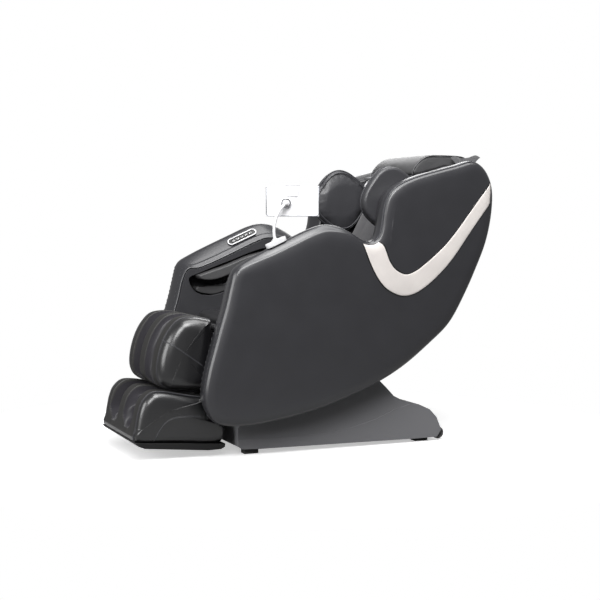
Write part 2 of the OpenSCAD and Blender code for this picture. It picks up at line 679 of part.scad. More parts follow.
module foot_tray() {
    lip = 2;
    drop = clear;
    difference() {
        slab(fit([[-708, 68], [-694, 56], [-671, 47], [-429, 25], [-380, 26], [-364, 34], foot_floor[1] - [0, drop],
            foot_floor[0] - [0, drop]]), -foot_half + lip, foot_half - lip);
        bar_x(bump_r + 4, -foot_half + side_wall, foot_half - side_wall, roller_at[0], roller_at[1]);
    }
    // Bearing blocks of the foot roller
    both_sides() difference() {
        slab([[roller_at[0] - 10, 52], [roller_at[0] + 10, 52], [roller_at[0] + 10, roller_at[1] + 8],
            [roller_at[0] - 10, roller_at[1] + 8]], foot_half - side_wall - 14, foot_half - side_wall - 4);
        bar_x(5 + run_fit, 0, foot_half, roller_at[0], roller_at[1]);
    }
}

module foot_roller() {
    bar_x(5, -foot_half + side_wall + 6, foot_half - side_wall - 6, roller_at[0], roller_at[1]);
    for (x = [60, 105, 150]) both_sides()
        translate([x - 9, roller_at[0], roller_at[1]]) rotate([0, 90, 0]) rotate_extrude()
            polygon([[0, 0], [bump_r * 0.7, 0], [bump_r, 6], [bump_r, 12], [bump_r * 0.7, 18], [0, 18]]);
}

module foot_rods() {
    flange_h = 6;
    low = (foot_step - 300) / cos(rod_lean) + 4;
    on_foot_slide() both_sides() translate([rail_rod_x, 0, 0]) {
        translate([0, 0, low]) cylinder(r = rod_r, h = 140 - low);
    }
    slab([[rod_line_y - 42, foot_step + clear], [rod_line_y + 4, foot_step + clear],
        [rod_line_y + 4, foot_step + clear + flange_h], [rod_line_y - 42, foot_step + clear + flange_h]],
        -rail_rod_x - 18, rail_rod_x + 18);
}

// --- Massage carriage ---------------------------------------------------------------------

carriage_z = 330;
hub_y = 95;
arm_in = 46;
roller_off = [72, 55];
roller_pin_r = 5;
knead_r = 8;
roller_x = arm_in + plate_t + 3;

module on_carriage() {
    on_back() translate([0, 0, carriage_z]) children();
}

module guide_bars() {
    on_back() both_sides() translate([guide_x, upright_y, bar_low - tube / 2])
        cylinder(r = guide_r, h = bar_high - bar_low + tube);
}

module lead_screw() {
    top = bar_high + tube / 2;
    low = bar_low + 60;
    on_back() translate([0, screw_y, low]) {
        cylinder(r = screw_r, h = top - low);
        cylinder(r = screw_r + 4, h = 12);
    }
}

module screw_motor() {
    high = bar_low + 60 - clear;
    on_back() {
        translate([-30, upright_y + tube / 2 + clear, bar_low - tube / 2]) cube([60, 46, 30]);
        translate([0, screw_y, bar_low]) cylinder(r = 20, h = high - bar_low);
    }
}

module massage_carriage() {
    bush_r = guide_r + 7;
    half_h = 60;
    on_carriage() difference() {
        union() {
            translate([-guide_x - 12, 134, -half_h]) cube([2 * guide_x + 24, 6, 2 * half_h]);
            translate([-38, 82, -46]) cube([76, 54, 92]);
            translate([-22, 138, -20]) cube([44, screw_y - 138 + 22, 40]);
            both_sides() translate([guide_x, upright_y, -half_h]) cylinder(r = bush_r, h = 2 * half_h);
            bar_x(knead_r, -arm_in - plate_t - 2, arm_in + plate_t + 2, hub_y, 0);
        }
        both_sides() translate([guide_x, upright_y, -half_h - 1]) cylinder(r = guide_r + run_fit, h = 2 * half_h + 2);
        translate([0, screw_y, -half_h]) cylinder(r = screw_r + run_fit, h = 2 * half_h);
    }
}

module massage_arm() {
    on_carriage() difference() {
        union() {
            bar_x(16, arm_in, arm_in + plate_t, hub_y, 0);
            for (s = [-1, 1]) {
                slab([[hub_y + 12, 0], [hub_y - 14, -s * 10], [roller_off[0] - 9, s * roller_off[1]],
                    [roller_off[0] + 9, s * roller_off[1]]], arm_in, arm_in + plate_t);
                bar_x(10, arm_in, arm_in + plate_t, roller_off[0], s * roller_off[1]);
                bar_x(roller_pin_r, arm_in, roller_x + roller_w + 2, roller_off[0], s * roller_off[1]);
            }
        }
        bar_x(knead_r + run_fit, 0, guide_x, hub_y, 0);
    }
}

module massage_roller(s) {
    soft = 7;
    on_carriage() translate([roller_x, roller_off[0], s * roller_off[1]]) rotate([0, 90, 0]) rotate_extrude()
        difference() {
            union() {
                translate([roller_pin_r + run_fit, 0]) square([roller_r - soft - roller_pin_r - run_fit, roller_w]);
                translate([roller_pin_r + run_fit, soft]) square([roller_r - roller_pin_r - run_fit, roller_w - 2 * soft]);
                for (z = [soft, roller_w - soft]) translate([roller_r - soft, z]) circle(r = soft);
            }
        }
}

// --- Base ---------------------------------------------------------------------------------

base_top = [[541, 44], [519, 96], [490, 127], [440, 150], [382, 163], [330, 189], [295, 226], [268, 252],
    [225, 252], [100, 199], [-60, 150], [-200, 126], [-312, 112]];
base_line = concat([[-319, 100], [-319, 34], [-304, 23], [-234, 20], [426, 15], [520, 16]], base_top);
crease = [[-319, 58], [-60, 58], [60, 62], [157, 78], [251, 104], [334, 137], [399, 153]];
base_front = -319 + front_move;
// The front of the base follows the front of the seat.
function base_fit(points) = [for (p = points) p + [front_move * ramp(-100, -300, p[0]), 0]];
frame_x = 215;
frame_front = base_front + 29;
foot_size = [40, 56];
foot_at = [base_front + 61, 463];
wheel_at = [533, 30];
wheel_x = 227;
axle_r = 5;
well_half = 192;

module base_cover() {
    flare = 4;
    difference() {
        union() {
            slab(base_fit(base_line), -base_half + flare, base_half - flare);
            // Raised skirt below the crease
            slab(base_fit(concat([[-319, 34], [-304, 23], [-234, 20], [426, 15], [520, 16], [540, 44],
                [519, 94], [490, 124], [440, 146]], reversed(crease))), -base_half, base_half);
        }
        slab(base_fit([[-314, -10], [514, -10], [514, 40], [512, 92], [486, 121], [438, 144], [379, 157],
            [325, 184], [289, 222], [265, 246], [226, 246], [100, 193], [-60, 144], [-200, 120], [-314, 107]]),
            -base_half + flare + base_wall, base_half - flare - base_wall);
        // Opening under the seat, for the shaft carriers and the tilt drive
        translate([-well_half, base_front + 21, 60]) cube([2 * well_half, 221 - base_front, 300]);
        both_sides() bar_x(wheel_r + 4, wheel_x - 9 - clear, wheel_x + wheel_w + 3, wheel_at[0], wheel_at[1]);
        on_rear_face() translate([rocker_x, 0, -30]) cube([22, 30, 80], center = true);
        on_rear_face() translate([inlet_x, 0, -30]) cube([50, 30, 80], center = true);
    }
    // Ribs that sit on the frame tubes
    for (y = foot_at) both_sides()
        translate([frame_x + tube / 2 + clear, y + 40, foot_h + clear])
            cube([base_half - 4 - base_wall - frame_x - tube / 2, 6, 40]);
}

module base_frame() {
    low = foot_h + clear;
    stand_x = lug_x + 3 + plate_t;
    difference() {
        union() {
            both_sides() translate([frame_x - tube / 2, frame_front, low]) cube([tube, 490 - frame_front, tube]);
            for (y = [frame_front, -10, 100, 440]) translate([-frame_x, y, low]) cube([2 * frame_x, tube, tube]);
            both_sides() {
                slab([[-20, low + tube - tiny], [140, low + tube - tiny], [tilt_y + 22, tilt_h - 6],
                    [tilt_y - 22, tilt_h - 6]], stand_x - plate_t, stand_x);
                bar_x(24, stand_x - plate_t, stand_x, tilt_y, tilt_h);
                slab([[470, low + 1], [foot_at[1] + foot_size[1] / 2 + 2, low + 1],
                    [wheel_at[0] + 8, wheel_at[1] - 8], [wheel_at[0] + 8, wheel_at[1] + 12],
                    [470, low + tube - 1]], wheel_x - 9, wheel_x - 3);
                bar_x(axle_r, wheel_x - 9, wheel_x + wheel_w + 1, wheel_at[0], wheel_at[1]);
            }
            // Saddle of the tilt actuator
            translate([-20, frame_front + 4, low + tube - tiny]) cube([40, 22, drive_z - drive_r - clear - low - tube]);
            // Tray of the control box
            translate([-110, 240, low]) cube([220, 210, 4]);
        }
        bar_x(tilt_shaft_r + run_fit, -inner_half, inner_half, tilt_y, tilt_h);
    }
}

module base_feet() {
    for (y = foot_at) both_sides()
        translate([frame_x - foot_size[0] / 2, y - foot_size[1] / 2, 0]) cube([foot_size[0], foot_size[1], foot_h]);
}

module transport_wheel() {
    lip = 3;
    translate([wheel_x, wheel_at[0], wheel_at[1]]) rotate([0, 90, 0]) difference() {
        rotate_extrude() polygon([[axle_r + run_fit, 0], [wheel_r - lip, 0], [wheel_r, lip],
            [wheel_r, wheel_w - lip], [wheel_r - lip, wheel_w], [wheel_r - 7, wheel_w], [wheel_r - 9, wheel_w - 4],
            [axle_r + 6, wheel_w - 4], [axle_r + 4, wheel_w], [axle_r + run_fit, wheel_w]]);
    }
}

rear_lean = 23;
inlet_x = -60;
rocker_x = -110;
// Local frame of the sloping rear face of the base: z out of it, y down.
module on_rear_face() {
    translate([0, 530, 70]) rotate([rear_lean - 90, 0, 0]) children();
}

module power_inlet() {
    on_rear_face() difference() {
        union() {
            translate([inlet_x - 24, -14, -22]) cube([48, 28, 24]);
            translate([inlet_x - 29, -18, 1]) cube([58, 36, 2.5]);
            translate([rocker_x - 15, -18, 1]) cube([30, 36, 2.5]);
        }
        translate([inlet_x - 12, -8, -14]) cube([24, 16, 30]);
        translate([rocker_x - 9, -13, -4]) cube([18, 26, 20]);
    }
    on_rear_face() for (x = [-7, 0, 7]) translate([inlet_x + x - 1, x == 0 ? -4 : 0, -14.5]) cube([2, 3, 10]);
}

rocker_swing = 8;
module power_rocker() {
    r = 16;
    gap = clear;
    on_rear_face() translate([rocker_x, 0, 3 - r + 4]) intersection() {
        bar_x(r, -9 + gap, 9 - gap, 0, 0);
        translate([-9, -9, r - 14]) cube([18, 18, 20]);
    }
}

module tilt_shaft() {
    reach = lug_x + 3 + plate_t + 1;
    bar_x(tilt_shaft_r, -reach, reach, tilt_y, tilt_h);
}

drive_r = 26;
drive_z = tilt_pin[1];
drive_rod_r = 10;
drive_house = [frame_front, -80];
tilt_eye_r = 16;
tilt_eye_x = lever_gap - 1;
tilt_eye_l = 32;
module tilt_actuator() {
    translate([0, 0, drive_z]) difference() {
        union() {
            rod_along_y(drive_r, drive_house[0], drive_house[1]);
            translate([46, 0, 0]) rod_along_y(drive_r - 4, drive_house[0] + 20, drive_house[1] - 70);
            translate([0, drive_house[0], -drive_r + 3]) cube([68, 40, 2 * drive_r - 6]);
        }
        rod_along_y(drive_rod_r + run_fit, drive_house[0] + 20, drive_house[1] + 1);
    }
}

module tilt_rod() {
    translate([0, 0, drive_z]) {
        rod_along_y(drive_rod_r, drive_house[0] + 95, tilt_pin[0] - tilt_eye_l);
        bar_x(tilt_eye_r, -tilt_eye_x, tilt_eye_x, tilt_pin[0], 0);
        neck = drive_rod_r - 1;
        neck_y = tilt_pin[0] - tilt_eye_l - weld;
        slab([[neck_y, -neck], [tilt_pin[0], -neck], [tilt_pin[0], neck], [neck_y, neck]], -tilt_eye_x, tilt_eye_x);
        bar_x(tilt_pin_r, -lever_gap - plate_t - 2, lever_gap + plate_t + 2, tilt_pin[0], 0);
    }
}

module control_box() {
    low = foot_h + clear + 4 + clear;
    difference() {
        translate([-100, 250, low]) cube([200, 180, 56]);
        for (x = [-80:20:80]) translate([x, 249, low + 14]) cube([6, 4, 28]);
    }
}

// --- Keys ---------------------------------------------------------------------------------

// The panel and the holder stand at these points of the silhouette.
panel_i = 67;
holder_i = 69;
ridge_x = outer_half - ridge_drop;
function rise_at(i) = let (t = side_line[i - 1] - side_line[i + 1]) atan2(t[1], t[0]);
panel_drop = side_line[panel_i][2];
panel_mid = side_at(panel_i, 0, 0.5);
// Local frame of the sloping top of the right armrest: x along it, z out of it.
module on_armrest() {
    translate([-(inner_half + ridge_x) / 2, panel_mid[0], panel_mid[1]]) rotate([rise_at(panel_i), 0, 0])
        rotate([0, atan2(panel_drop, ridge_x - inner_half), 0]) translate([0, 0, clear])
        rotate([0, 0, 90]) children();
}
key_w = 12;
key_travel = 1.2;
panel_t = 5;
key_pitch = 20;

module key_panel() {
    on_armrest() difference() {
        linear_extrude(panel_t) oval(panel_l, panel_w);
        translate([0, 0, panel_t - 2]) linear_extrude(4) oval(panel_l - 8, panel_w - 8);
        for (k = [1:n_keys]) translate([key_x(k), 0, 2]) linear_extrude(panel_t) oval(18, key_w + 1);
    }
}
module oval(l, w) {
    square([l - w, w], center = true);
    for (s = [-1, 1]) translate([s * (l - w) / 2, 0]) circle(d = w);
}
function key_x(k) = (k - (n_keys + 1) / 2) * key_pitch;

module armrest_key(k) {
    on_armrest() translate([key_x(k), 0, 2 + key_travel + clear]) linear_extrude(panel_t - 2 - key_travel)
        oval(17, key_w);
}

// --- Phone holder -------------------------------------------------------------------------

holder_foot_h = 14;
holder_seat = side_at(holder_i, -clear);
holder_rise = rise_at(holder_i);
holder_base = [outer_half - 38, holder_seat[0] - holder_foot_h * sin(holder_rise),
    holder_seat[1] + holder_foot_h * cos(holder_rise)];
holder_yaw = -23;
ball_at = holder_base + [-8, 46, 137];
ball_r = 10;
arm_r = 5.5;
arm_lean = 17;
socket_r = 13;

module holder_foot() {
    l = 84;
    w = 34;
    h = holder_foot_h;
    translate(holder_base) rotate([holder_rise, 0, 0]) difference() {
        union() {
            translate([0, 0, -h]) rotate([0, 0, 90]) linear_extrude(h) oval(l, w);
            translate([0, 0, -h]) cylinder(r = 14, h = h + 4);
        }
        translate([0, 0, -4]) cylinder(r = 8 + run_fit, h = 20);
    }
}

// The bar leaves the foot leaning forwards and bends back to the ball in one arc.
module holder_arm() {
    reach = ball_at - holder_base;
    span = norm([reach[0], reach[1]]);
    half_turn = atan2(span, reach[2]) + arm_lean;
    bend_r = norm(reach) / (2 * sin(half_turn));
    color(white) {
        translate(holder_base) rotate([holder_rise, 0, 0]) translate([0, 0, clear - 4]) cylinder(r = 8, h = 12);
        translate(holder_base) rotate([0, 0, atan2(reach[1], reach[0])])
            translate([bend_r * cos(arm_lean), 0, bend_r * sin(arm_lean)]) rotate([90, 0, 0])
            rotate([0, 0, 180 + arm_lean - 2 * half_turn]) rotate_extrude(angle = 2 * half_turn)
            translate([bend_r, 0]) circle(r = arm_r);
        translate(ball_at) sphere(r = ball_r);
    }
}

// Local frame of the holder plate: x towards the outside, y along the plate, z up.
module on_holder() {
    translate(ball_at) rotate([0, 0, holder_yaw]) children();
}
plate_x = -24;
plate_mid = [24, 8];

module holder_plate() {
    fold = 12;
    grip = 3;
    socket_gap = 6;
    on_holder() difference() {
        union() {
            translate([plate_x - holder_t, plate_mid[0] - holder_w / 2, plate_mid[1] - holder_h / 2])
                cube([holder_t, holder_w, holder_h]);
            for (s = [-1, 1]) translate([plate_x - fold, plate_mid[0] + s * (holder_w / 2 - holder_t / 2) - holder_t / 2,
                plate_mid[1] - holder_h / 2]) cube([fold, holder_t, holder_h]);
            translate([plate_x - fold, plate_mid[0] - holder_w / 2, plate_mid[1] - holder_h / 2]) cube([fold, holder_w, holder_t]);
            translate([plate_x - fold, plate_mid[0] - holder_w / 4, plate_mid[1] - holder_h / 2]) cube([grip, holder_w / 2, 9]);
            // Socket that holds the ball
            translate([plate_x - tiny, 0, 0]) rotate([0, 90, 0]) cylinder(r = socket_r, h = -plate_x - socket_gap);
        }
        sphere(r = ball_r + run_fit);
    }
}

module holder_collar() {
    l = 8;
    on_holder() translate([plate_x + clear + jaw_t + 2 * clear, 0, 0]) rotate([0, 90, 0]) difference() {
        cylinder(r = socket_r + 5, h = l);
        translate([0, 0, -1]) cylinder(r = socket_r + run_fit, h = l + 2);
    }
}

jaw_t = 3;
module holder_jaw() {
    top = plate_mid[1] + holder_h / 2 + 1;
    low = plate_mid[1] + 18;
    x = plate_x + clear;
    lip = 16;
    on_holder() translate([0, plate_mid[0], 0]) {
        slab([[-20, low], [20, low], [26, top + jaw_t], [-26, top + jaw_t]], x, x + jaw_t);
        translate([plate_x - lip + 2, -26, top]) cube([lip + jaw_t, 52, jaw_t]);
        translate([plate_x - lip + 2, -26, top - 8]) cube([jaw_t - 1, 52, 8 + jaw_t]);
    }
}

color(plastic) base_cover();
color(steel) base_frame();
color(rubber) base_feet();
color(rubber) transport_wheel();  // wheel_left
color(rubber) mirror([1, 0, 0]) transport_wheel();  // wheel_right
color(rubber) power_inlet();
color("firebrick") power_rocker();
color(steel) tilt_shaft();
color(plastic) tilt_actuator();
color(steel) tilt_rod();
color(plastic) control_box();
body_frame();
color(leather) side_shell();  // side_shell_left
color(leather) mirror([1, 0, 0]) side_shell();  // side_shell_right
color(leather) side_liner();  // side_liner_left
color(leather) mirror([1, 0, 0]) side_liner();  // side_liner_right
color(cream) side_stripe();  // side_stripe_left
color(cream) mirror([1, 0, 0]) side_stripe();  // side_stripe_right
color(fabric) arm_pad();  // arm_pad_left
color(fabric) mirror([1, 0, 0]) arm_pad();  // arm_pad_right
color(leather) seat_cushion();
color(plastic) seat_valance();
color(plastic) back_shell();
color(fabric) back_pad();
color(leather) head_pillow();
color(leather) shoulder_wing();  // shoulder_wing_left
color(leather) mirror([1, 0, 0]) shoulder_wing();  // shoulder_wing_right
color(white) speakers();
color(white) key_panel();
color(rubber) armrest_key(1);  // key_1
color(rubber) armrest_key(2);  // key_2
color(rubber) armrest_key(3);  // key_3
color(rubber) armrest_key(4);  // key_4
color(rubber) armrest_key(5);  // key_5
color(steel) guide_bars();
color(steel) lead_screw();
color(plastic) screw_motor();
color(plastic) massage_carriage();
color(steel) massage_arm();  // massage_arm_left
color(steel) mirror([1, 0, 0]) massage_arm();  // massage_arm_right
color(rubber) massage_roller(1);  // roller_left_upper
color(rubber) massage_roller(-1);  // roller_left_lower
color(rubber) mirror([1, 0, 0]) massage_roller(1);  // roller_right_upper
color(rubber) mirror([1, 0, 0]) massage_roller(-1);  // roller_right_lower
color(leather) calf_shell();
color(fabric) calf_pads();
color(steel) calf_frame();
legrest_shaft();
leg_actuator();
leg_rod();
color(leather) foot_shell();
color(fabric) foot_pads();
color(plastic) foot_tray();
color(steel) foot_rods();
color(rubber) foot_roller();
color(white) holder_foot();
holder_arm();
color(steel) holder_collar();
color(white) holder_plate();
color(white) holder_jaw();
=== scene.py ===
"""A reclining massage chair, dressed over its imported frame.

The chair faces -Y, +X is the sitter's left and the floor is at z = 0. Sizes are written in
millimetres and turned to metres where a mesh is made.
"""
import logging
import math
from dataclasses import dataclass, field
from enum import Enum
from typing import Callable, Iterable, Sequence

import bmesh
import bpy
from mathutils import Matrix, Vector
from mathutils.bvhtree import BVHTree


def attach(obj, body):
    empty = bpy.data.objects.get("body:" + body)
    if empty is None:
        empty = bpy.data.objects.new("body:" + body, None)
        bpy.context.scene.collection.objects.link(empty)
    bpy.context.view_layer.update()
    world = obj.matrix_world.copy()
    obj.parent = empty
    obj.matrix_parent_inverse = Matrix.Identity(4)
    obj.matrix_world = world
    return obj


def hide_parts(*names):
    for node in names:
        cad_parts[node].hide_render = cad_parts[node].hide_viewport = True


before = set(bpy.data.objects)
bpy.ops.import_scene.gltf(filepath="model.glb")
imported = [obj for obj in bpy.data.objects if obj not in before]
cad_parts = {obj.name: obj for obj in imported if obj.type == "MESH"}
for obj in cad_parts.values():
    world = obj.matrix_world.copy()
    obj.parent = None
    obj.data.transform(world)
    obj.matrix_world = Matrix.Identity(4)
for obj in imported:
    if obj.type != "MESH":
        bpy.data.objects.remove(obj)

Mesh = bmesh.types.BMesh
Material = bpy.types.Material
Tree = bpy.types.NodeTree
Node = bpy.types.Node
Socket = bpy.types.NodeSocket
Points = Sequence[Sequence[float]]

log = logging.getLogger("massage_chair")
MM = 0.001
# A ray that looks for the left face of a piece starts here, beyond it, in metres.
RAY_START = 0.6
# Frames that the cloth of a cushion runs for.
CLOTH_FRAMES = 20
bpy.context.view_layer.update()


class Side(Enum):
    """A side of the chair, as the sign of its x."""

    LEFT = 1
    RIGHT = -1

    @property
    def word(self) -> str:
        """The side's name in a node's name."""
        return self.name.lower()

    def copy_of(self, bm: Mesh) -> Mesh:
        """A copy of a left mesh for this side."""
        return bm.copy() if self is Side.LEFT else mirrored(bm)


# --- Curves ---------------------------------------------------------------------------------


def spline(points: Points, steps: int, closed: bool) -> list[Vector]:
    """Draws a smooth curve through points.

    Args:
        points: the points to pass through, with any number of coordinates.
        steps: how many steps lie between neighbours.
        closed: whether the curve returns to its start.

    Returns:
        The points of the curve, without a repeated last one if it is closed.
    """
    p = [Vector(q) for q in points]
    last = len(p) - 1
    spans = len(p) if closed else last
    curve = []
    for i in range(spans):
        if closed:
            a, b, c, d = p[i - 1], p[i], p[(i + 1) % len(p)], p[(i + 2) % len(p)]
        else:
            a, b, c, d = p[max(i - 1, 0)], p[i], p[i + 1], p[min(i + 2, last)]
        for k in range(steps):
            t = k / steps
            curve.append(0.5 * (2 * b + (c - a) * t + (2 * a - 5 * b + 4 * c - d) * t * t
                                + (3 * b - a - 3 * c + d) * t ** 3))
    if not closed:
        curve.append(p[last].copy())
    return curve


def inward(ring: Sequence[Vector], i: int, reach: int) -> Vector:
    """The inward unit normal of a closed outline in (y, z), taken over reach neighbours."""
    a, b = ring[i - reach], ring[(i + reach) % len(ring)]
    return Vector((a[1] - b[1], b[0] - a[0])).normalized()


def smooth(low: float, high: float, value: float) -> float:
    """A smooth step from 0 at low to 1 at high."""
    t = min(max((value - low) / (high - low), 0.0), 1.0)
    return t * t * (3 - 2 * t)


def at_x(ring: Iterable[Vector], x: float) -> list[Vector]:
    """Places an outline drawn in (y, z) at the height x."""
    return [Vector((x, q[0], q[1])) for q in ring]


# --- Meshes ---------------------------------------------------------------------------------


class Skin:
    """A skin that grows ring by ring, by extruding its open edge.

    Attributes:
        bm: the mesh being made, in millimetres.
        last: the vertices of the newest ring, in order.
    """

    def __init__(self, ring: Sequence[Vector], closed: bool = True) -> None:
        """Starts the skin with its first ring."""
        self.bm = bmesh.new()
        self.closed = closed
        self.last = [self.bm.verts.new(q) for q in ring]
        pairs = zip(self.last, self.last[1:] + self.last[:1] if closed else self.last[1:])
        self.edges = [self.bm.edges.new(pair) for pair in pairs]

    def grow(self, ring: Sequence[Vector]) -> list[bmesh.types.BMFace]:
        """Extrudes the open edge and moves the new vertices to ring.

        Args:
            ring: the places of the new vertices, as many as in the last ring.

        Returns:
            The new faces.
        """
        made = bmesh.ops.extrude_edge_only(self.bm, edges=self.edges)["geom"]
        fresh = {v for v in made if isinstance(v, bmesh.types.BMVert)}
        following = []
        for vert in self.last:
            ends = (edge.other_vert(vert) for edge in vert.link_edges)
            following.append(next(end for end in ends if end in fresh))
        for vert, place in zip(following, ring):
            vert.co = place
        self.last = following
        self.edges = [e for e in made
                      if isinstance(e, bmesh.types.BMEdge) and set(e.verts) <= fresh]
        return [f for f in made if isinstance(f, bmesh.types.BMFace)]

    def close(self, edges: Sequence[bmesh.types.BMEdge] | None = None) -> None:
        """Fills the open edge, or another ring of edges, with one face."""
        bmesh.ops.contextual_create(self.bm, geom=list(edges or self.edges))

    def done(self) -> Mesh:
        """Points all faces outwards and hands the mesh over."""
        bmesh.ops.recalc_face_normals(self.bm, faces=self.bm.faces)
        return self.bm


def lofted(rings: Sequence[Sequence[Vector]], looped: bool = False) -> Mesh:
    """Joins a chain of closed rings into a skin, closed at both ends or looped onto itself."""
    skin = Skin(rings[0])
    first = list(skin.edges)
    for ring in rings[1:]:
        skin.grow(ring)
    if looped:
        bmesh.ops.bridge_loops(skin.bm, edges=first + skin.edges)
    else:
        skin.close(first)
        skin.close()
    return skin.done()


def tube(path: Sequence[Vector], radius: float, sides: int = 10,
         closed: bool = False) -> Mesh:
    """Makes a round tube along a path.

    Args:
        path: the points of the centre line.
        radius: the tube's radius, in the path's units.
        sides: how many sides its section has.
        closed: whether the path returns to its start.

    Returns:
        The tube's mesh.
    """
    count = len(path)
    up = Vector((0.31, 0.12, 0.94))
    rings = []
    for i, q in enumerate(path):
        before = path[i - 1] if closed or i else path[0]
        after = path[(i + 1) % count] if closed or i < count - 1 else path[-1]
        along = (after - before).normalized()
        across = (along.cross(up) if i == 0 else across - along * across.dot(along)).normalized()
        lift = along.cross(across)
        rings.append([q + radius * (math.cos(a) * across + math.sin(a) * lift)
                      for a in (2 * math.pi * k / sides for k in range(sides))])
    return lofted(rings, looped=closed)


def cushion(width: float, length: float, height: float, crown: float, squareness: float,
            count: int = 72) -> Mesh:
    """Makes a closed cushion on the XY plane, with drawn-in sides and a crowned top.

    Args:
        width: size along X.
        length: size along Y.
        height: height of the sides.
        crown: how far the middle of the top stands above the sides.
        squareness: 2 gives an oval, more gives squarer corners.
        count: points round the edge.

    Returns:
        The cushion's mesh.
    """
    side = height * 0.8
    steps = [(0.0, 0.3), (0.12, 0.1), (0.45, 0.0), (0.8, 0.08), (0.97, 0.3)]

    def ring(a: float, b: float, z: float) -> list[Vector]:
        """A squared oval of half sizes a and b at height z."""
        out = []
        for i in range(count):
            t = 2 * math.pi * (i + 0.5) / count
            c, s = math.cos(t), math.sin(t)
            out.append(Vector((a * math.copysign(abs(c) ** (2 / squareness), c),
                               b * math.copysign(abs(s) ** (2 / squareness), s), z)))
        return out

    rings = [ring(width / 2 * s, length / 2 * s, 0) for s in (0.2, 0.6)]
    rings += [ring(width / 2 - side * s, length / 2 - side * s, height * z) for z, s in steps]
    rings += [ring(width / 2 * s, length / 2 * s, height + crown * (1 - s * s))
              for s in (0.75, 0.5, 0.2)]
    return lofted(rings)


def padded_block(outline: Sequence[Vector], x0: float, x1: float, edge: float,
                 crown: float = 0.0, reach: int = 1) -> Mesh:
    """Makes a block from x0 to x1, its ends rounded and crowned.

    Args:
        outline: its outline in (y, z).
        x0: x of its right end.
        x1: x of its left end.
        edge: radius of the rounding at its ends.
        crown: how far the middle of an end stands out.
        reach: how many neighbours on each side the outline's normals are taken over.

    Returns:
        The block's mesh.
    """
    quarter = [(0.0, 1.0), (0.13, 0.5), (0.5, 0.13), (1.0, 0.0)]
    count = len(outline)
    middle = sum((Vector(q) for q in outline), Vector((0, 0))) / count

    def ring(d: float, scale: float = 1.0) -> list[Vector]:
        """The outline moved in by d, then scaled about its middle."""
        return [middle + (outline[i] + d * inward(outline, i, reach) - middle) * scale
                for i in range(count)]

    head = [at_x(ring(edge, s), x0 - crown * (1 - s)) for s in (0.3, 0.7)]
    head += [at_x(ring(edge * b), x0 + edge * a) for a, b in quarter]
    tail = [at_x(ring(edge * b), x1 - edge * a) for a, b in reversed(quarter)]
    tail += [at_x(ring(edge, s), x1 + crown * (1 - s)) for s in (0.7, 0.3)]
    return lofted(head + tail)


def tree_of(bm: Mesh) -> BVHTree:
    """A search tree over a mesh in millimetres, kept in metres as BVHTree is coarse beyond them."""
    probe = bm.copy()
    bmesh.ops.scale(probe, vec=(MM,) * 3, verts=probe.verts)
    tree = BVHTree.FromBMesh(probe)
    probe.free()
    return tree


def height_on(tree: BVHTree, q: Sequence[float]) -> float | None:
    """The x of a piece's left face at q in (y, z), in millimetres, or None beside the piece."""
    hit = tree.ray_cast(Vector((RAY_START, q[0] * MM, q[1] * MM)), Vector((-1, 0, 0)))[0]
    return None if hit is None else hit.x / MM


def drawn_on(tree: BVHTree, points: Points, radius: float, lift: float = 0.0,
             steps: int = 6) -> Mesh:
    """A thin round line on the left face of a piece.

    Args:
        tree: the piece to lie on.
        points: the line's course in (y, z), in millimetres.
        radius: the line's radius.
        lift: how far its middle stands above the face.
        steps: curve steps between neighbouring points.

    Returns:
        The line's mesh, in millimetres.
    """
    path = []
    for q in spline(points, steps, False):
        x = height_on(tree, q)
        if x is not None:
            path.append(Vector((x + lift, q[0], q[1])))
    return tube(path, radius, 6)


def mirrored(bm: Mesh) -> Mesh:
    """A copy of a mesh on the other side of the chair, its faces still pointing outwards."""
    other = bm.copy()
    bmesh.ops.scale(other, vec=(-1, 1, 1), verts=other.verts)
    bmesh.ops.reverse_faces(other, faces=other.faces)
    return other


def joined(meshes: Iterable[Mesh]) -> Mesh:
    """Gathers several meshes into the first and frees the others."""
    whole = bmesh.new()
    for bm in meshes:
        spare = bpy.data.meshes.new("spare")
        bm.to_mesh(spare)
        bm.free()
        whole.from_mesh(spare)
        bpy.data.meshes.remove(spare)
    return whole


@dataclass
class Piece:
    """What every piece of the scene needs besides its mesh.

    Attributes:
        name: the piece's name.
        body: the CAD body that it rides on.
        slot: the record's material slot; not used.
        stands_for: the CAD nodes that it replaces.
        levels: levels of subdivision.
        fill: how full a padded piece is, or None for a rigid one; not used.
    """

    name: str
    body: str
    slot: str
    stands_for: tuple[str, ...] = ()
    levels: int = 0
    fill: float | None = None

    def place(self, bm: Mesh, *finishes: "Finish") -> bpy.types.Object:
        """Makes the object from a mesh in millimetres and hands it to its body.

        Args:
            bm: the mesh, which is freed.
            finishes: the piece's finishes, by face index.

        Returns:
            The finished object.
        """
        bmesh.ops.scale(bm, vec=(MM,) * 3, verts=bm.verts)
        mesh = bpy.data.meshes.new(self.name)
        bm.to_mesh(mesh)
        bm.free()
        for finish in finishes:
            mesh.materials.append(finish.material())
        mesh.shade_smooth()
        piece = bpy.data.objects.new(self.name, mesh)
        bpy.context.scene.collection.objects.link(piece)
        if self.levels:
            subdivide = piece.modifiers.new("subdivide", "SUBSURF")
            subdivide.levels = subdivide.render_levels = self.levels
        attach(piece, self.body)
        if self.stands_for:
            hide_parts(*self.stands_for)
        log.info("%s on %s: %d faces", self.name, self.body, len(mesh.polygons))
        return piece


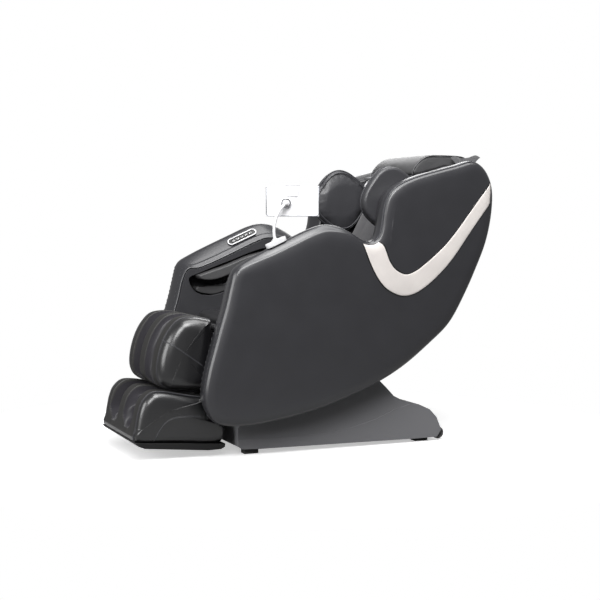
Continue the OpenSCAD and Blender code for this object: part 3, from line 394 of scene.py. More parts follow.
def puffed(bm: Mesh, cap: float, pressure: float = 4.0, voxel: float = 6.0,
           held: Callable[[Vector], bool] | None = None) -> Mesh:
    """Blows a closed cushion up as cloth, so that its cover creases along what holds it.

    Args:
        bm: the closed mesh, in millimetres.
        cap: the furthest that a point may move, in millimetres.
        pressure: the cloth's inner pressure.
        voxel: size of the cover's mesh, in millimetres.
        held: says which points, in millimetres, stay where they are.

    Returns:
        The blown-up mesh, in millimetres.
    """
    bmesh.ops.scale(bm, vec=(MM,) * 3, verts=bm.verts)
    mesh = bpy.data.meshes.new("puffed")
    bm.to_mesh(mesh)
    bm.free()
    cover = bpy.data.objects.new("puffed", mesh)
    scene = bpy.context.scene
    scene.collection.objects.link(cover)
    remesh = cover.modifiers.new("remesh", "REMESH")
    remesh.mode = "VOXEL"
    remesh.voxel_size = voxel * MM
    deps = bpy.context.evaluated_depsgraph_get()
    fine = bpy.data.meshes.new_from_object(cover.evaluated_get(deps))
    cover.modifiers.clear()
    cover.data = fine
    rest = [v.co.copy() for v in fine.vertices]
    group = cover.vertex_groups.new(name="held")
    if held:
        group.add([i for i, q in enumerate(rest) if held(q / MM)], 1.0, "REPLACE")
    cloth = cover.modifiers.new("cloth", "CLOTH")
    cloth.settings.use_pressure = True
    cloth.settings.uniform_pressure_force = pressure
    cloth.settings.effector_weights.gravity = 0.0
    cloth.settings.quality = 4
    cloth.settings.tension_stiffness = 12
    cloth.settings.compression_stiffness = 12
    cloth.settings.bending_stiffness = 0.4
    if held:
        cloth.settings.vertex_group_mass = "held"
    cloth.point_cache.frame_start = 1
    cloth.point_cache.frame_end = CLOTH_FRAMES
    for step in range(1, CLOTH_FRAMES + 1):
        scene.frame_set(step)
    deps = bpy.context.evaluated_depsgraph_get()
    blown = bpy.data.meshes.new_from_object(cover.evaluated_get(deps))
    scene.frame_set(1)
    for vert, start in zip(blown.vertices, rest):
        move = vert.co - start
        if move.length > cap * MM:
            vert.co = start + move * (cap * MM / move.length)
    out = bmesh.new()
    out.from_mesh(blown)
    bmesh.ops.smooth_vert(out, verts=out.verts, factor=0.4, use_axis_x=True, use_axis_y=True,
                          use_axis_z=True)
    bmesh.ops.scale(out, vec=(1 / MM,) * 3, verts=out.verts)
    bpy.data.objects.remove(cover)
    for spare in (mesh, fine, blown):
        bpy.data.meshes.remove(spare)
    return out


# --- Finishes -------------------------------------------------------------------------------


def linear(colour: str) -> tuple[float, float, float, float]:
    """Turns an sRGB hex colour such as #2a2a2e to linear RGBA."""
    parts = [int(colour[i:i + 2], 16) / 255 for i in (1, 3, 5)]
    rgb = [c / 12.92 if c <= 0.04045 else ((c + 0.055) / 1.055) ** 2.4 for c in parts]
    return (rgb[0], rgb[1], rgb[2], 1.0)


def add(tree: Tree, kind: str, settings: dict | None = None,
        links: dict | None = None) -> Node:
    """Adds one node.

    Args:
        tree: the material's node tree.
        kind: the node's type, without the ShaderNode in front.
        settings: values by socket name, or by property name.
        links: output sockets by the name or number of the input that they feed.

    Returns:
        The new node.
    """
    made = tree.nodes.new("ShaderNode" + kind)
    for key, value in (settings or {}).items():
        if isinstance(key, int) or key in made.inputs:
            made.inputs[key].default_value = value
        else:
            setattr(made, key, value)
    for key, source in (links or {}).items():
        tree.links.new(source, made.inputs[key])
    return made


def per_metre(size_mm: float) -> float:
    """The scale of a texture on Object coordinates whose cells are size_mm wide."""
    return 1 / (size_mm * MM)


@dataclass(frozen=True)
class Finish:
    """A finish: its name, its colour and how rough its surface is."""

    name: str
    colour: str
    roughness: float

    def material(self) -> Material:
        """The finish's material, made the first time it is asked for."""
        known = bpy.data.materials.get(self.name)
        if known:
            return known
        made = bpy.data.materials.new(self.name)
        made.use_nodes = True
        made.diffuse_color = linear(self.colour)
        tree = made.node_tree
        tree.nodes.clear()
        shader = add(tree, "BsdfPrincipled", {"Roughness": self.roughness,
                                              "Base Color": linear(self.colour)})
        add(tree, "OutputMaterial", links={"Surface": shader.outputs[0]})
        place = add(tree, "TexCoord").outputs["Object"]
        self.dress(tree, shader, place)
        return made

    def dress(self, tree: Tree, shader: Node, place: Socket) -> None:
        """Adds what this kind of finish shows to the plain shader."""
        raise NotImplementedError

    def bump(self, tree: Tree, shader: Node, height: Socket, strength: float,
             depth: float) -> None:
        """Lets height, from 0 to 1, stand for depth millimetres of relief."""
        relief = add(tree, "Bump", {"Strength": strength, "Distance": depth * MM},
                     {"Height": height})
        tree.links.new(relief.outputs[0], shader.inputs["Normal"])

    def tint(self, tree: Tree, shader: Node, factor: Socket,
             low: float, high: float) -> None:
        """Varies the colour between low and high times itself by a factor from 0 to 1."""
        r, g, b, _ = linear(self.colour)
        ramp = add(tree, "ValToRGB", links={"Fac": factor})
        ramp.color_ramp.elements[0].color = (r * low, g * low, b * low, 1)
        ramp.color_ramp.elements[1].color = (r * high, g * high, b * high, 1)
        tree.links.new(ramp.outputs["Color"], shader.inputs["Base Color"])


@dataclass(frozen=True)
class Leather(Finish):
    """Coated split leather: an embossed pebble grain under a soft top coat.

    The grain breaks the highlight into fine dots, and the coat gives a broad soft shine.
    """

    grain: float = 2.4
    depth: float = 0.12
    coat: float = 0.1

    def dress(self, tree: Tree, shader: Node, place: Socket) -> None:
        """Adds the pebbles, slow waves of the hide and uneven shine."""
        # Real grain is 1 mm, which is too fine to show, so it is drawn at grain.
        pebbles = add(tree, "TexVoronoi", {"Scale": per_metre(self.grain), "feature": "SMOOTH_F1",
                                           "Smoothness": 0.6}, {"Vector": place})
        hide = add(tree, "TexNoise", {"Scale": per_metre(90), "Detail": 3.0}, {"Vector": place})
        self.tint(tree, shader, hide.outputs["Fac"], 0.86, 1.16)
        shine = add(tree, "MapRange", {"To Min": self.roughness - 0.06,
                                       "To Max": self.roughness + 0.08},
                    {"Value": hide.outputs["Fac"]})
        tree.links.new(shine.outputs[0], shader.inputs["Roughness"])
        self.bump(tree, shader, pebbles.outputs["Distance"], 0.35, self.depth)
        shader.inputs["Specular IOR Level"].default_value = 0.5
        shader.inputs["Coat Weight"].default_value = self.coat
        shader.inputs["Coat Roughness"].default_value = 0.26


@dataclass(frozen=True)
class Cloth(Finish):
    """Knitted polyester cover cloth: dull, with a fine rib and a faint bloom at grazing angles."""

    thread: float = 3.0

    def dress(self, tree: Tree, shader: Node, place: Socket) -> None:
        """Adds the knit, drawn at three times its real pitch so that it shows, and the bloom."""
        ribs = [add(tree, "TexWave", {"Scale": per_metre(self.thread) / 6.28,
                                      "bands_direction": direction, "Distortion": 0.6},
                    {"Vector": place}) for direction in "XZ"]
        knit = add(tree, "Math", {"operation": "MULTIPLY"},
                   {i: rib.outputs["Fac"] for i, rib in enumerate(ribs)})
        wear = add(tree, "TexNoise", {"Scale": per_metre(60), "Detail": 4.0}, {"Vector": place})
        self.tint(tree, shader, wear.outputs["Fac"], 0.82, 1.2)
        self.bump(tree, shader, knit.outputs[0], 0.5, 0.3)
        shader.inputs["Sheen Weight"].default_value = 0.25
        shader.inputs["Sheen Roughness"].default_value = 0.5


@dataclass(frozen=True)
class Moulded(Finish):
    """Injection moulded plastic: an even colour with a fine spark-eroded texture."""

    texture: float = 1.2
    depth: float = 0.05
    coat: float = 0.0

    def dress(self, tree: Tree, shader: Node, place: Socket) -> None:
        """Adds the fine texture, and a slow change of shade as mouldings have."""
        fine, slow = (add(tree, "TexNoise", {"Scale": per_metre(size), "Detail": 2.0},
                          {"Vector": place}) for size in (self.texture, 150))
        self.tint(tree, shader, slow.outputs["Fac"], 0.92, 1.08)
        self.bump(tree, shader, fine.outputs["Fac"], 0.3, self.depth)
        shader.inputs["Coat Weight"].default_value = self.coat


@dataclass(frozen=True)
class Metal(Finish):
    """Bare or plated steel: metallic, with the fine lines of its grinding or drawing."""

    lines: float = 0.8

    def dress(self, tree: Tree, shader: Node, place: Socket) -> None:
        """Adds grinding lines and slightly uneven roughness."""
        shader.inputs["Metallic"].default_value = 1.0
        stretch = add(tree, "Mapping", {"Scale": (1, 1, 0.05)}, {"Vector": place})
        grind = add(tree, "TexNoise", {"Scale": per_metre(self.lines), "Detail": 3.0},
                    {"Vector": stretch.outputs[0]})
        self.tint(tree, shader, grind.outputs["Fac"], 0.9, 1.08)
        rough = add(tree, "MapRange", {"To Min": self.roughness * 0.8,
                                       "To Max": self.roughness * 1.2},
                    {"Value": grind.outputs["Fac"]})
        tree.links.new(rough.outputs[0], shader.inputs["Roughness"])


SHELL_LEATHER = Leather("shell_leather", "#27272b", 0.42, coat=0.75)
CHEEK_LEATHER = Leather("cheek_leather", "#151517", 0.33, coat=1.0)
STRAP_LEATHER = Leather("strap_leather", "#3c3c40", 0.5)
RIDGE_LEATHER = Leather("ridge_leather", "#232221", 0.6, depth=0.3)
SEAT_LEATHER = Leather("seat_leather", "#242426", 0.42)
LINER_LEATHER = Leather("liner_leather", "#2f2f32", 0.5)
WING_LEATHER = Leather("wing_leather", "#37373a", 0.4)
PAD_LEATHER = Leather("pad_leather", "#464647", 0.5, depth=0.06)
PIPING = Leather("piping_leather", "#34353a", 0.34, grain=1.6, depth=0.04)
STRIPE_LEATHER = Leather("stripe_leather", "#e2dcd8", 0.5, depth=0.05)
WELL_CLOTH = Cloth("well_cloth", "#211f25", 0.9)
BACK_CLOTH = Cloth("back_cloth", "#2b2a2e", 0.9)
FLAP_CLOTH = Cloth("flap_cloth", "#3d3d3f", 0.85)
# Near-black band along both edges of the stripe: painted shade of the groove that the stripe is set
# in.
GROOVE_SHADE_BLACK = Moulded("groove_shade_paint", "#08080a", 0.6)
BASE_PLASTIC = Moulded("base_plastic", "#262629", 0.5)
TRAY_PLASTIC = Moulded("tray_plastic", "#0d0d0e", 0.4)
MOTOR_PLASTIC = Moulded("motor_plastic", "#1c1c1e", 0.6)
WHITE_PLASTIC = Moulded("white_plastic", "#ececee", 0.22, texture=2.0, depth=0.01, coat=0.3)
KEY_PLASTIC = Moulded("key_plastic", "#0c0c0e", 0.25, depth=0.01, coat=0.3)
MARK_PAINT = Moulded("mark_paint", "#f2f2f2", 0.5, depth=0.01)
ROCKER_PLASTIC = Moulded("rocker_plastic", "#8e1712", 0.3, depth=0.01)
RUBBER = Moulded("rubber", "#161617", 0.75, texture=0.8, depth=0.1)
THREAD = Moulded("thread", "#47474b", 0.7)
POWDER_COAT = Moulded("powder_coat", "#202022", 0.5, texture=0.8, depth=0.08)
GROUND_STEEL = Metal("ground_steel", "#a9abb0", 0.32)
CHROME = Metal("chrome_plate", "#d9dade", 0.12)
# Grey bead on the phone plate's edges: painted shade standing in for the shading of its bent edges,
# drawn as satin metal.
PLATE_EDGE_SHADE = Metal("plate_edge_shade_paint", "#8b8d92", 0.3)


# --- Side shells ----------------------------------------------------------------------------

# Silhouette of a side shell: y, z and how far its inner edge stands in.
SIDE_POINTS = [
    (-484, 247, 14), (-473, 190, 16), (-440, 145, 20), (-385, 128, 20), (-300, 126, 20),
    (-190, 140, 20), (-60, 165, 20), (80, 207, 20), (210, 257, 20), (325, 319, 20),
    (435, 401, 20), (522, 478, 20), (590, 590, 20), (640, 691, 20), (680, 785, 20),
    (703, 880, 20), (710, 970, 22), (697, 1033, 24), (663, 1083, 26), (612, 1105, 26),
    (540, 1087, 24), (450, 1065, 22), (360, 1040, 20), (290, 1010, 20), (246, 970, 20),
    (228, 915, 20), (219, 855, 20), (203, 812, 22), (174, 796, 30), (140, 806, 38),
    (95, 833, 44), (45, 854, 50), (-10, 859, 54), (-70, 843, 56), (-150, 808, 56),
    (-240, 768, 56), (-320, 729, 48), (-366, 697, 26), (-384, 640, 14), (-401, 570, 14),
    (-425, 490, 14), (-450, 405, 14), (-472, 325, 14)]
# Lower and upper edge of the inlaid stripe in (y, z), from the armrest to the back.
STRIPE_LOW = [(142, 788), (163, 731), (193, 671), (224, 630), (260, 604), (306, 589), (358, 597),
              (416, 630), (479, 683), (531, 740), (584, 810), (638, 880), (686, 939)]
STRIPE_HIGH = [(206, 793), (226, 776), (249, 721), (275, 688), (316, 669), (358, 680), (410, 714),
               (478, 769), (531, 824), (584, 889), (637, 955), (665, 988), (692, 1018)]


@dataclass
class SideShell:
    """A moulded side: its leather skin, stitched edge, inlaid stripe and inner panel.

    Attributes:
        side: which side of the chair.
        outer: half of the chair's width, in millimetres.
        hub: middle of the outer face, in (y, z).
        steps: curve steps between neighbouring points of the silhouette.
        wall: thickness of the shell at its rim.
    """

    side: Side
    outer: float = 372.0
    hub: Vector = field(default_factory=lambda: Vector((250, 650)))
    steps: int = 4
    wall: float = 9.0

    def __post_init__(self) -> None:
        """Draws the silhouette once."""
        self.line = spline(SIDE_POINTS, self.steps, True)
        self.flat = [Vector(q[:2]) for q in self.line]
        self.normals = [inward(self.flat, i, self.steps) for i in range(len(self.flat))]
        self.crest = self.mask(29.6, 36.6, 2.0)

    def ring(self, drop: float, inset: float, share: float = 0.0,
             scale: float = 1.0) -> list[Vector]:
        """One ring of the skin.

        Args:
            drop: how far it lies below the outer face.
            inset: how far it is moved in from the silhouette.
            share: share of the rim's own inset that comes on top.
            scale: its size about the hub.

        Returns:
            The ring's points.
        """
        out = []
        for i, q in enumerate(self.flat):
            place = q + (inset + share * self.line[i][2]) * self.normals[i]
            out.append(self.hub + (place - self.hub) * scale)
        return at_x(out, self.outer - drop)

    def rounded(self, drop: float, inset: float, full: float) -> list[Vector]:
        """One ring of the outer edge, moved in by full, not inset, along the armrest's crest."""
        ring = self.ring(drop, inset)
        for q, normal, weight in zip(ring, self.normals, self.crest):
            move = normal * (full - inset) * weight
            q += Vector((0, move[0], move[1]))
        return ring

    def mask(self, first: float, last: float, blur: float = 0.8) -> list[float]:
        """1 between two places on the silhouette, counted in its points, and 0 beyond them."""
        n = len(SIDE_POINTS)
        span = (last - first) % n
        out = []
        for i in range(len(self.flat)):
            past = (i / self.steps - first) % n
            inside = smooth(0, blur, past) * (1 - smooth(span - blur, span, past))
            out.append(inside if past <= span else 0.0)
        return out

    def skin(self) -> Mesh:
        """The leather skin, with grooves where its seams run."""
        front, rear = self.mask(36.7, 45.6), self.mask(18.6, 27.6)
        seam = 3.2

        def pushed(ring: list[Vector], i: int, move: float, sink: float = 0.0) -> None:
            """Moves point i of a ring in by move and down by sink."""
            ring[i] += Vector((-sink, *(self.normals[i] * move)))

        def groove(drop: float, inset: float, share: float, along: tuple[float, float],
                   weight: list[float], depth: float) -> list[list[Vector]]:
            """Three rings that sink a seam into the skin where weight is above 0."""
            rings = []
            for k in (-1, 0, 1):
                lower = drop + k * seam * along[0]
                ring = self.ring(lower, inset + k * seam * along[1], share)
                spare = 14 * math.exp(-((lower - 11) / 13) ** 2) if share == 0 else 0.0
                for i in range(len(ring)):
                    pushed(ring, i, spare * self.crest[i])
                    if k == 0:
                        pushed(ring, i, depth * weight[i] * 0.7, depth * weight[i] * 0.7)
                rings.append(ring)
            return rings

        rings = [self.ring(0.1, 32, 0, s) for s in (0.06, 0.2, 0.4, 0.55, 0.68)]
        rings += [self.rounded(*row) for row in ((0.6, 44, 76), (1.8, 34, 58), (3.6, 25, 45),
                                                 (6.2, 17, 34))]
        rings += groove(11, 9.5, 0, (0.75, -0.66), rear, 0.8)
        rings += [self.rounded(17, 4.4, 15)]
        rings += groove(24, 1.6, 0, (0.98, -0.2), front, 2.4)
        rings += [self.ring(36, 0), self.ring(48, 0)]
        rings += [self.ring(drop, 0, share) for drop, share in ((58, 0.12), (72, 0.35), (86, 0.6))]
        rings += groove(95, 0, 0.78, (0.94, 0.3), front, 2.2)
        rings += [self.ring(*row) for row in (
            (103, 0.4, 0.94), (108, 2.0, 0.99), (110, 5, 1), (109.5, self.wall, 1),
            (95, self.wall, 1), (60, self.wall + 4, 0.6), (25, 18), (12, 40))]
        rings += [self.ring(12, 32, 0, s) for s in (0.6, 0.2)]
        return lofted(rings)

    def seam_path(self, drop: float, inset: float, share: float, first: float, last: float,
                  proud: float) -> list[Vector]:
        """Points of a seam on the ring of drop, inset and share, a little proud of the skin.

        It runs between two places on the silhouette, counted in its points.
        """
        ring = self.ring(drop, inset - proud, share)
        count = len(SIDE_POINTS) * self.steps
        low, high = round(first * self.steps), round(last * self.steps)
        return [ring[i % count] for i in range(low, high + 1)]

    def stitches(self, path: Sequence[Vector], length: float = 7.0, gap: float = 3.5,
                 radius: float = 0.9) -> Mesh:
        """Short threads along a path."""
        meshes = []
        walked, start = 0.0, path[0]
        for a, b in zip(path, path[1:]):
            step = b - a
            walked += step.length
            if walked >= length + gap:
                along = (b - start).normalized()
                meshes.append(tube([start, start + along * length], radius, 5))
                start, walked = b, 0.0
        return joined(meshes)

    def over(self, tree: BVHTree, q: Vector) -> float:
        """Height of the outer face over q, in millimetres."""
        x = height_on(tree, q)
        return self.outer - 60 if x is None else x

    def band(self, tree: BVHTree, margin: float,
             columns: Sequence[tuple[float, float]]) -> Mesh:
        """A band along the stripe that follows the face.

        Args:
            tree: the outer face to lie on.
            margin: how far the band reaches past the stripe on both sides.
            columns: place across the band from 0 to 1, and height above the face.

        Returns:
            The band's mesh.
        """
        low, high = spline(STRIPE_LOW, 6, False), spline(STRIPE_HIGH, 6, False)
        sag = Vector((0, -9))
        rows = []
        last = len(low) - 1
        for j, (a, b) in enumerate(zip(low, high)):
            across = (b - a).normalized()
            a, b = a - across * margin, b + across * margin
            fade = max(0.0, 1 - j / 6)
            row = []
            for t, lift in columns:
                q = a.lerp(b, t) + sag * fade * 4 * t * (1 - t)
                end = 1.0 if 0 < j < last else 0.3
                row.append(Vector((self.over(tree, q) + lift * end, q[0], q[1])))
            rows.append(row)
        skin = Skin(rows[0], closed=False)
        for row in rows[1:]:
            skin.grow(row)
        return skin.done()

    def build(self) -> None:
        """Makes the side's pieces, the left one as drawn and the right one mirrored."""
        side = self.side.word
        face = self.skin()
        tree = tree_of(face)
        self.put("leather_shell", "leather", face, SHELL_LEATHER, (f"side_shell_{side}",), 1)
        # A near-black band reaching 5.5 mm past the stripe on both sides, painted shade of the
        # stripe's groove.
        groove = self.band(tree, 5.5, [(0, 0.5), (0.5, 0.7), (1, 0.5)])
        self.put("stripe_groove_shade", "stripe", groove, GROOVE_SHADE_BLACK)
        edge = [(0, 0.8), (0.01, 1.9), (0.06, 2.4), (0.3, 2.8)]
        stripe = self.band(tree, 0.0, [*edge, (0.5, 2.9), *((1 - t, up) for t, up in edge[::-1])])
        self.put("inlaid_stripe", "stripe", stripe, STRIPE_LEATHER, (f"side_stripe_{side}",), 1)
        threads = joined([self.stitches(self.seam_path(29, 0.8, 0, 37.2, 45.4, 0.9)),
                          self.stitches(self.seam_path(90, 0, 0.7, 37.2, 45.4, 0.9))])
        self.put("edge_stitches", "leather", threads, THREAD)
        piping = tube(self.seam_path(15.5, 6.0, 0, 18.9, 27.4, 1.2), 2.0, 8)
        self.put("rear_edge_piping", "leather", piping, PIPING)

    def put(self, name: str, slot: str, bm: Mesh, finish: Finish,
            stands_for: tuple[str, ...] = (), levels: int = 0) -> None:
        """Hands one piece of this side over, from the mesh of the left side, which is freed."""
        piece = Piece(f"{name}_{self.side.word}", "chair", slot, stands_for, levels=levels)
        piece.place(self.side.copy_of(bm), finish)
        bm.free()


# --- Seat and back --------------------------------------------------------------------------

ON_SEAT = Matrix.Translation((0, -324, 526)) @ Matrix.Rotation(math.radians(-9.4), 4, "X")
ON_BACK = Matrix.Translation((0, 150, 420)) @ Matrix.Rotation(math.radians(-28), 4, "X")


@dataclass
class Upholstery:
    """The seat cushion, the back pad, the pillow, the shoulder wings and the forearm pads.

    Attributes:
        seat: width, length and height of the seat cushion, in millimetres.
        back: the same of the back pad.
        wing: the same of a shoulder wing.
        flap: flat width and length of a pillow flap, in metres; not used.
        flap_area: its flat area, in square metres; not used.
    """

    seat: tuple[float, float, float] = (524, 456, 56)
    back: tuple[float, float, float] = (424, 684, 34)
    wing: tuple[float, float, float] = (240, 232, 44)
    flap: tuple[float, float] = (0.138, 0.075)
    flap_area: float = 0.0074

    def build(self) -> None:
        """Makes every padded piece of the chair body."""
        self.seat_cushion()
        self.back_pad()
        self.pillow()
        self.wings()
        self.forearm_pads()

    def seat_cushion(self) -> None:
        """The leather seat cushion, held along the seams of its side bolsters."""
        width, length, height = self.seat
        bm = cushion(width, length, height, 6, 6)
        bm.transform(ON_SEAT @ Matrix.Translation((0, 231, -height - 8)))
        back = ON_SEAT.inverted()

        def held(q: Vector) -> bool:
            """Along the two bolster seams and underneath."""
            local = back @ q
            return local.z < -height * 0.7 or abs(abs(local.x) - 150) < 4
        bm = puffed(bm, 8, held=held)
        Piece("seat_leather", "chair", "leather", ("seat_cushion",), levels=1,
              fill=0.7).place(bm, SEAT_LEATHER)

    def back_pad(self) -> None:
        """The cloth pad in front of the rollers, sewn in channels."""
        width, length, height = self.back
        bm = cushion(width, length, height, 6, 6)
        bm.transform(ON_BACK @ Matrix.Translation((0, 35, 355))
                     @ Matrix.Rotation(math.radians(90), 4, "X"))
        back = ON_BACK.inverted()

        def held(q: Vector) -> bool:
            """Along the sewn channels and behind."""
            local = back @ q
            across = any(abs(local.z - z) < 4 for z in (160, 300, 440, 580))
            return local.y > 15 or abs(abs(local.x) - 105) < 4 or across
        bm = puffed(bm, 8, held=held)
        Piece("back_cloth_pad", "chair", "fabric", ("back_pad",), levels=1,
              fill=0.6).place(bm, BACK_CLOTH)

    def pillow(self) -> None:
        """The head pillow: a leather block with piped edges, and the cloth flap behind it."""
        line = spline([(456, 1050), (540, 1072), (612, 1090), (650, 1074), (680, 1076), (692, 1096),
                       (686, 1116), (660, 1127), (590, 1130), (522, 1128), (486, 1113), (458, 1088),
                       (444, 1062)], 4, True)
        bm = padded_block(line, -186, 186, 9, 1, reach=3)
        bm = puffed(bm, 4, pressure=3)
        Piece("pillow_leather", "chair", "leather", ("head_pillow",), levels=1,
              fill=0.8).place(bm, PAD_LEATHER)
        pipes = [tube(at_x(line, x), 2.6, 8, closed=True) for x in (-183, 183)]
        Piece("pillow_piping", "chair", "leather").place(joined(pipes), SHELL_LEATHER)
        self.flaps()

    def flaps(self) -> None:
        """The gathered cloth at both rear ends of the pillow, pulled over the shells' edge."""
        rows, columns = 24, 8

        def place(u: float, v: float) -> Vector:
            """A point of the left flap, u from its front to its tip and v from its top down."""
            y = 606 + 118 * u + 10 * v * (1 - u)
            top = 1124 + 4 * math.sin(9 * u) * (1 - u) + 11 * smooth(0.65, 1, u)
            hang = (52 - 40 * smooth(0.45, 1.0, u)) * v
            fold = 0.5 - 0.5 * math.cos(2 * math.pi * (2.1 * u + 0.35 * v + 0.1))
            x = 196 + 44 * v ** 0.8 * (1 - 0.3 * u) + 11 * fold * smooth(0, 0.3, v) * (1 - 0.5 * u)
            return Vector((x, y, top - hang + 2.5 * fold * (1 - u)))

        grid = [[place(i / rows, k / columns) for k in range(columns + 1)]
                for i in range(rows + 1)]
        skin = Skin(grid[0], closed=False)
        for row in grid[1:]:
            skin.grow(row)
        cloth = skin.done()
        bmesh.ops.solidify(cloth, geom=cloth.faces[:], thickness=1.5)
        for side in Side:
            flap = Piece(f"pillow_flap_{side.word}", "chair", "fabric", levels=1).place(
                side.copy_of(cloth), FLAP_CLOTH)
        cloth.free()

    def wings(self) -> None:
        """The two padded wings beside the shoulders, with a double piped edge."""
        width, length, height = self.wing
        base = cushion(width, length, height, 6, 2.7)
        base = puffed(base, 7, held=lambda q: q.z < 6)
        frame_of = (ON_BACK @ Matrix.Translation((261, -100, 552))
                    @ Matrix.Rotation(math.radians(-90), 4, "Y")
                    @ Matrix.Rotation(math.radians(8), 4, "Z"))
        base.transform(frame_of)

        def rim(t: float, scale: float, share: float) -> Vector:
            """A point of the wing's edge at the angle t, at a share of its height."""
            c, s = (math.copysign(abs(u) ** (2 / 2.7), u) for u in (math.cos(t), math.sin(t)))
            return frame_of @ Vector((width / 2 * scale * c, length / 2 * scale * s,
                                      (height + 6) * share))

        piping = joined([tube([rim(2 * math.pi * i / 96, scale, share) for i in range(96)],
                              2.4, 8, closed=True)
                         for scale, share in ((0.985, 0.62), (0.9, 0.93))])
        for side in Side:
            Piece(f"wing_leather_{side.word}", "chair", "leather",
                  (f"shoulder_wing_{side.word}",), levels=1, fill=0.8).place(
                side.copy_of(base), WING_LEATHER)
            Piece(f"wing_piping_{side.word}", "chair", "leather").place(
                side.copy_of(piping), STRAP_LEATHER)

    def forearm_pads(self) -> None:
        """The air pads above and below each forearm."""
        upper = spline([(-307, 650), (-292, 635), (-240, 634), (-180, 652), (-90, 691),
                        (-10, 728), (-4, 745), (-90, 727), (-180, 692), (-285, 658)], 4, True)
        lower = spline([(-302, 585), (-262, 574), (-215, 574), (-140, 600), (-50, 642), (0, 676),
                        (-2, 690), (-60, 657), (-140, 619), (-215, 601), (-262, 601),
                        (-300, 603)], 4, True)
        pads = joined([padded_block(upper, 224, 343, 4.5), padded_block(lower, 270, 343, 4.5)])
        for side in Side:
            Piece(f"forearm_pads_{side.word}", "chair", "fabric", (f"arm_pad_{side.word}",),
                  levels=1, fill=0.6).place(side.copy_of(pads), PAD_LEATHER)


# --- Leg rest -------------------------------------------------------------------------------


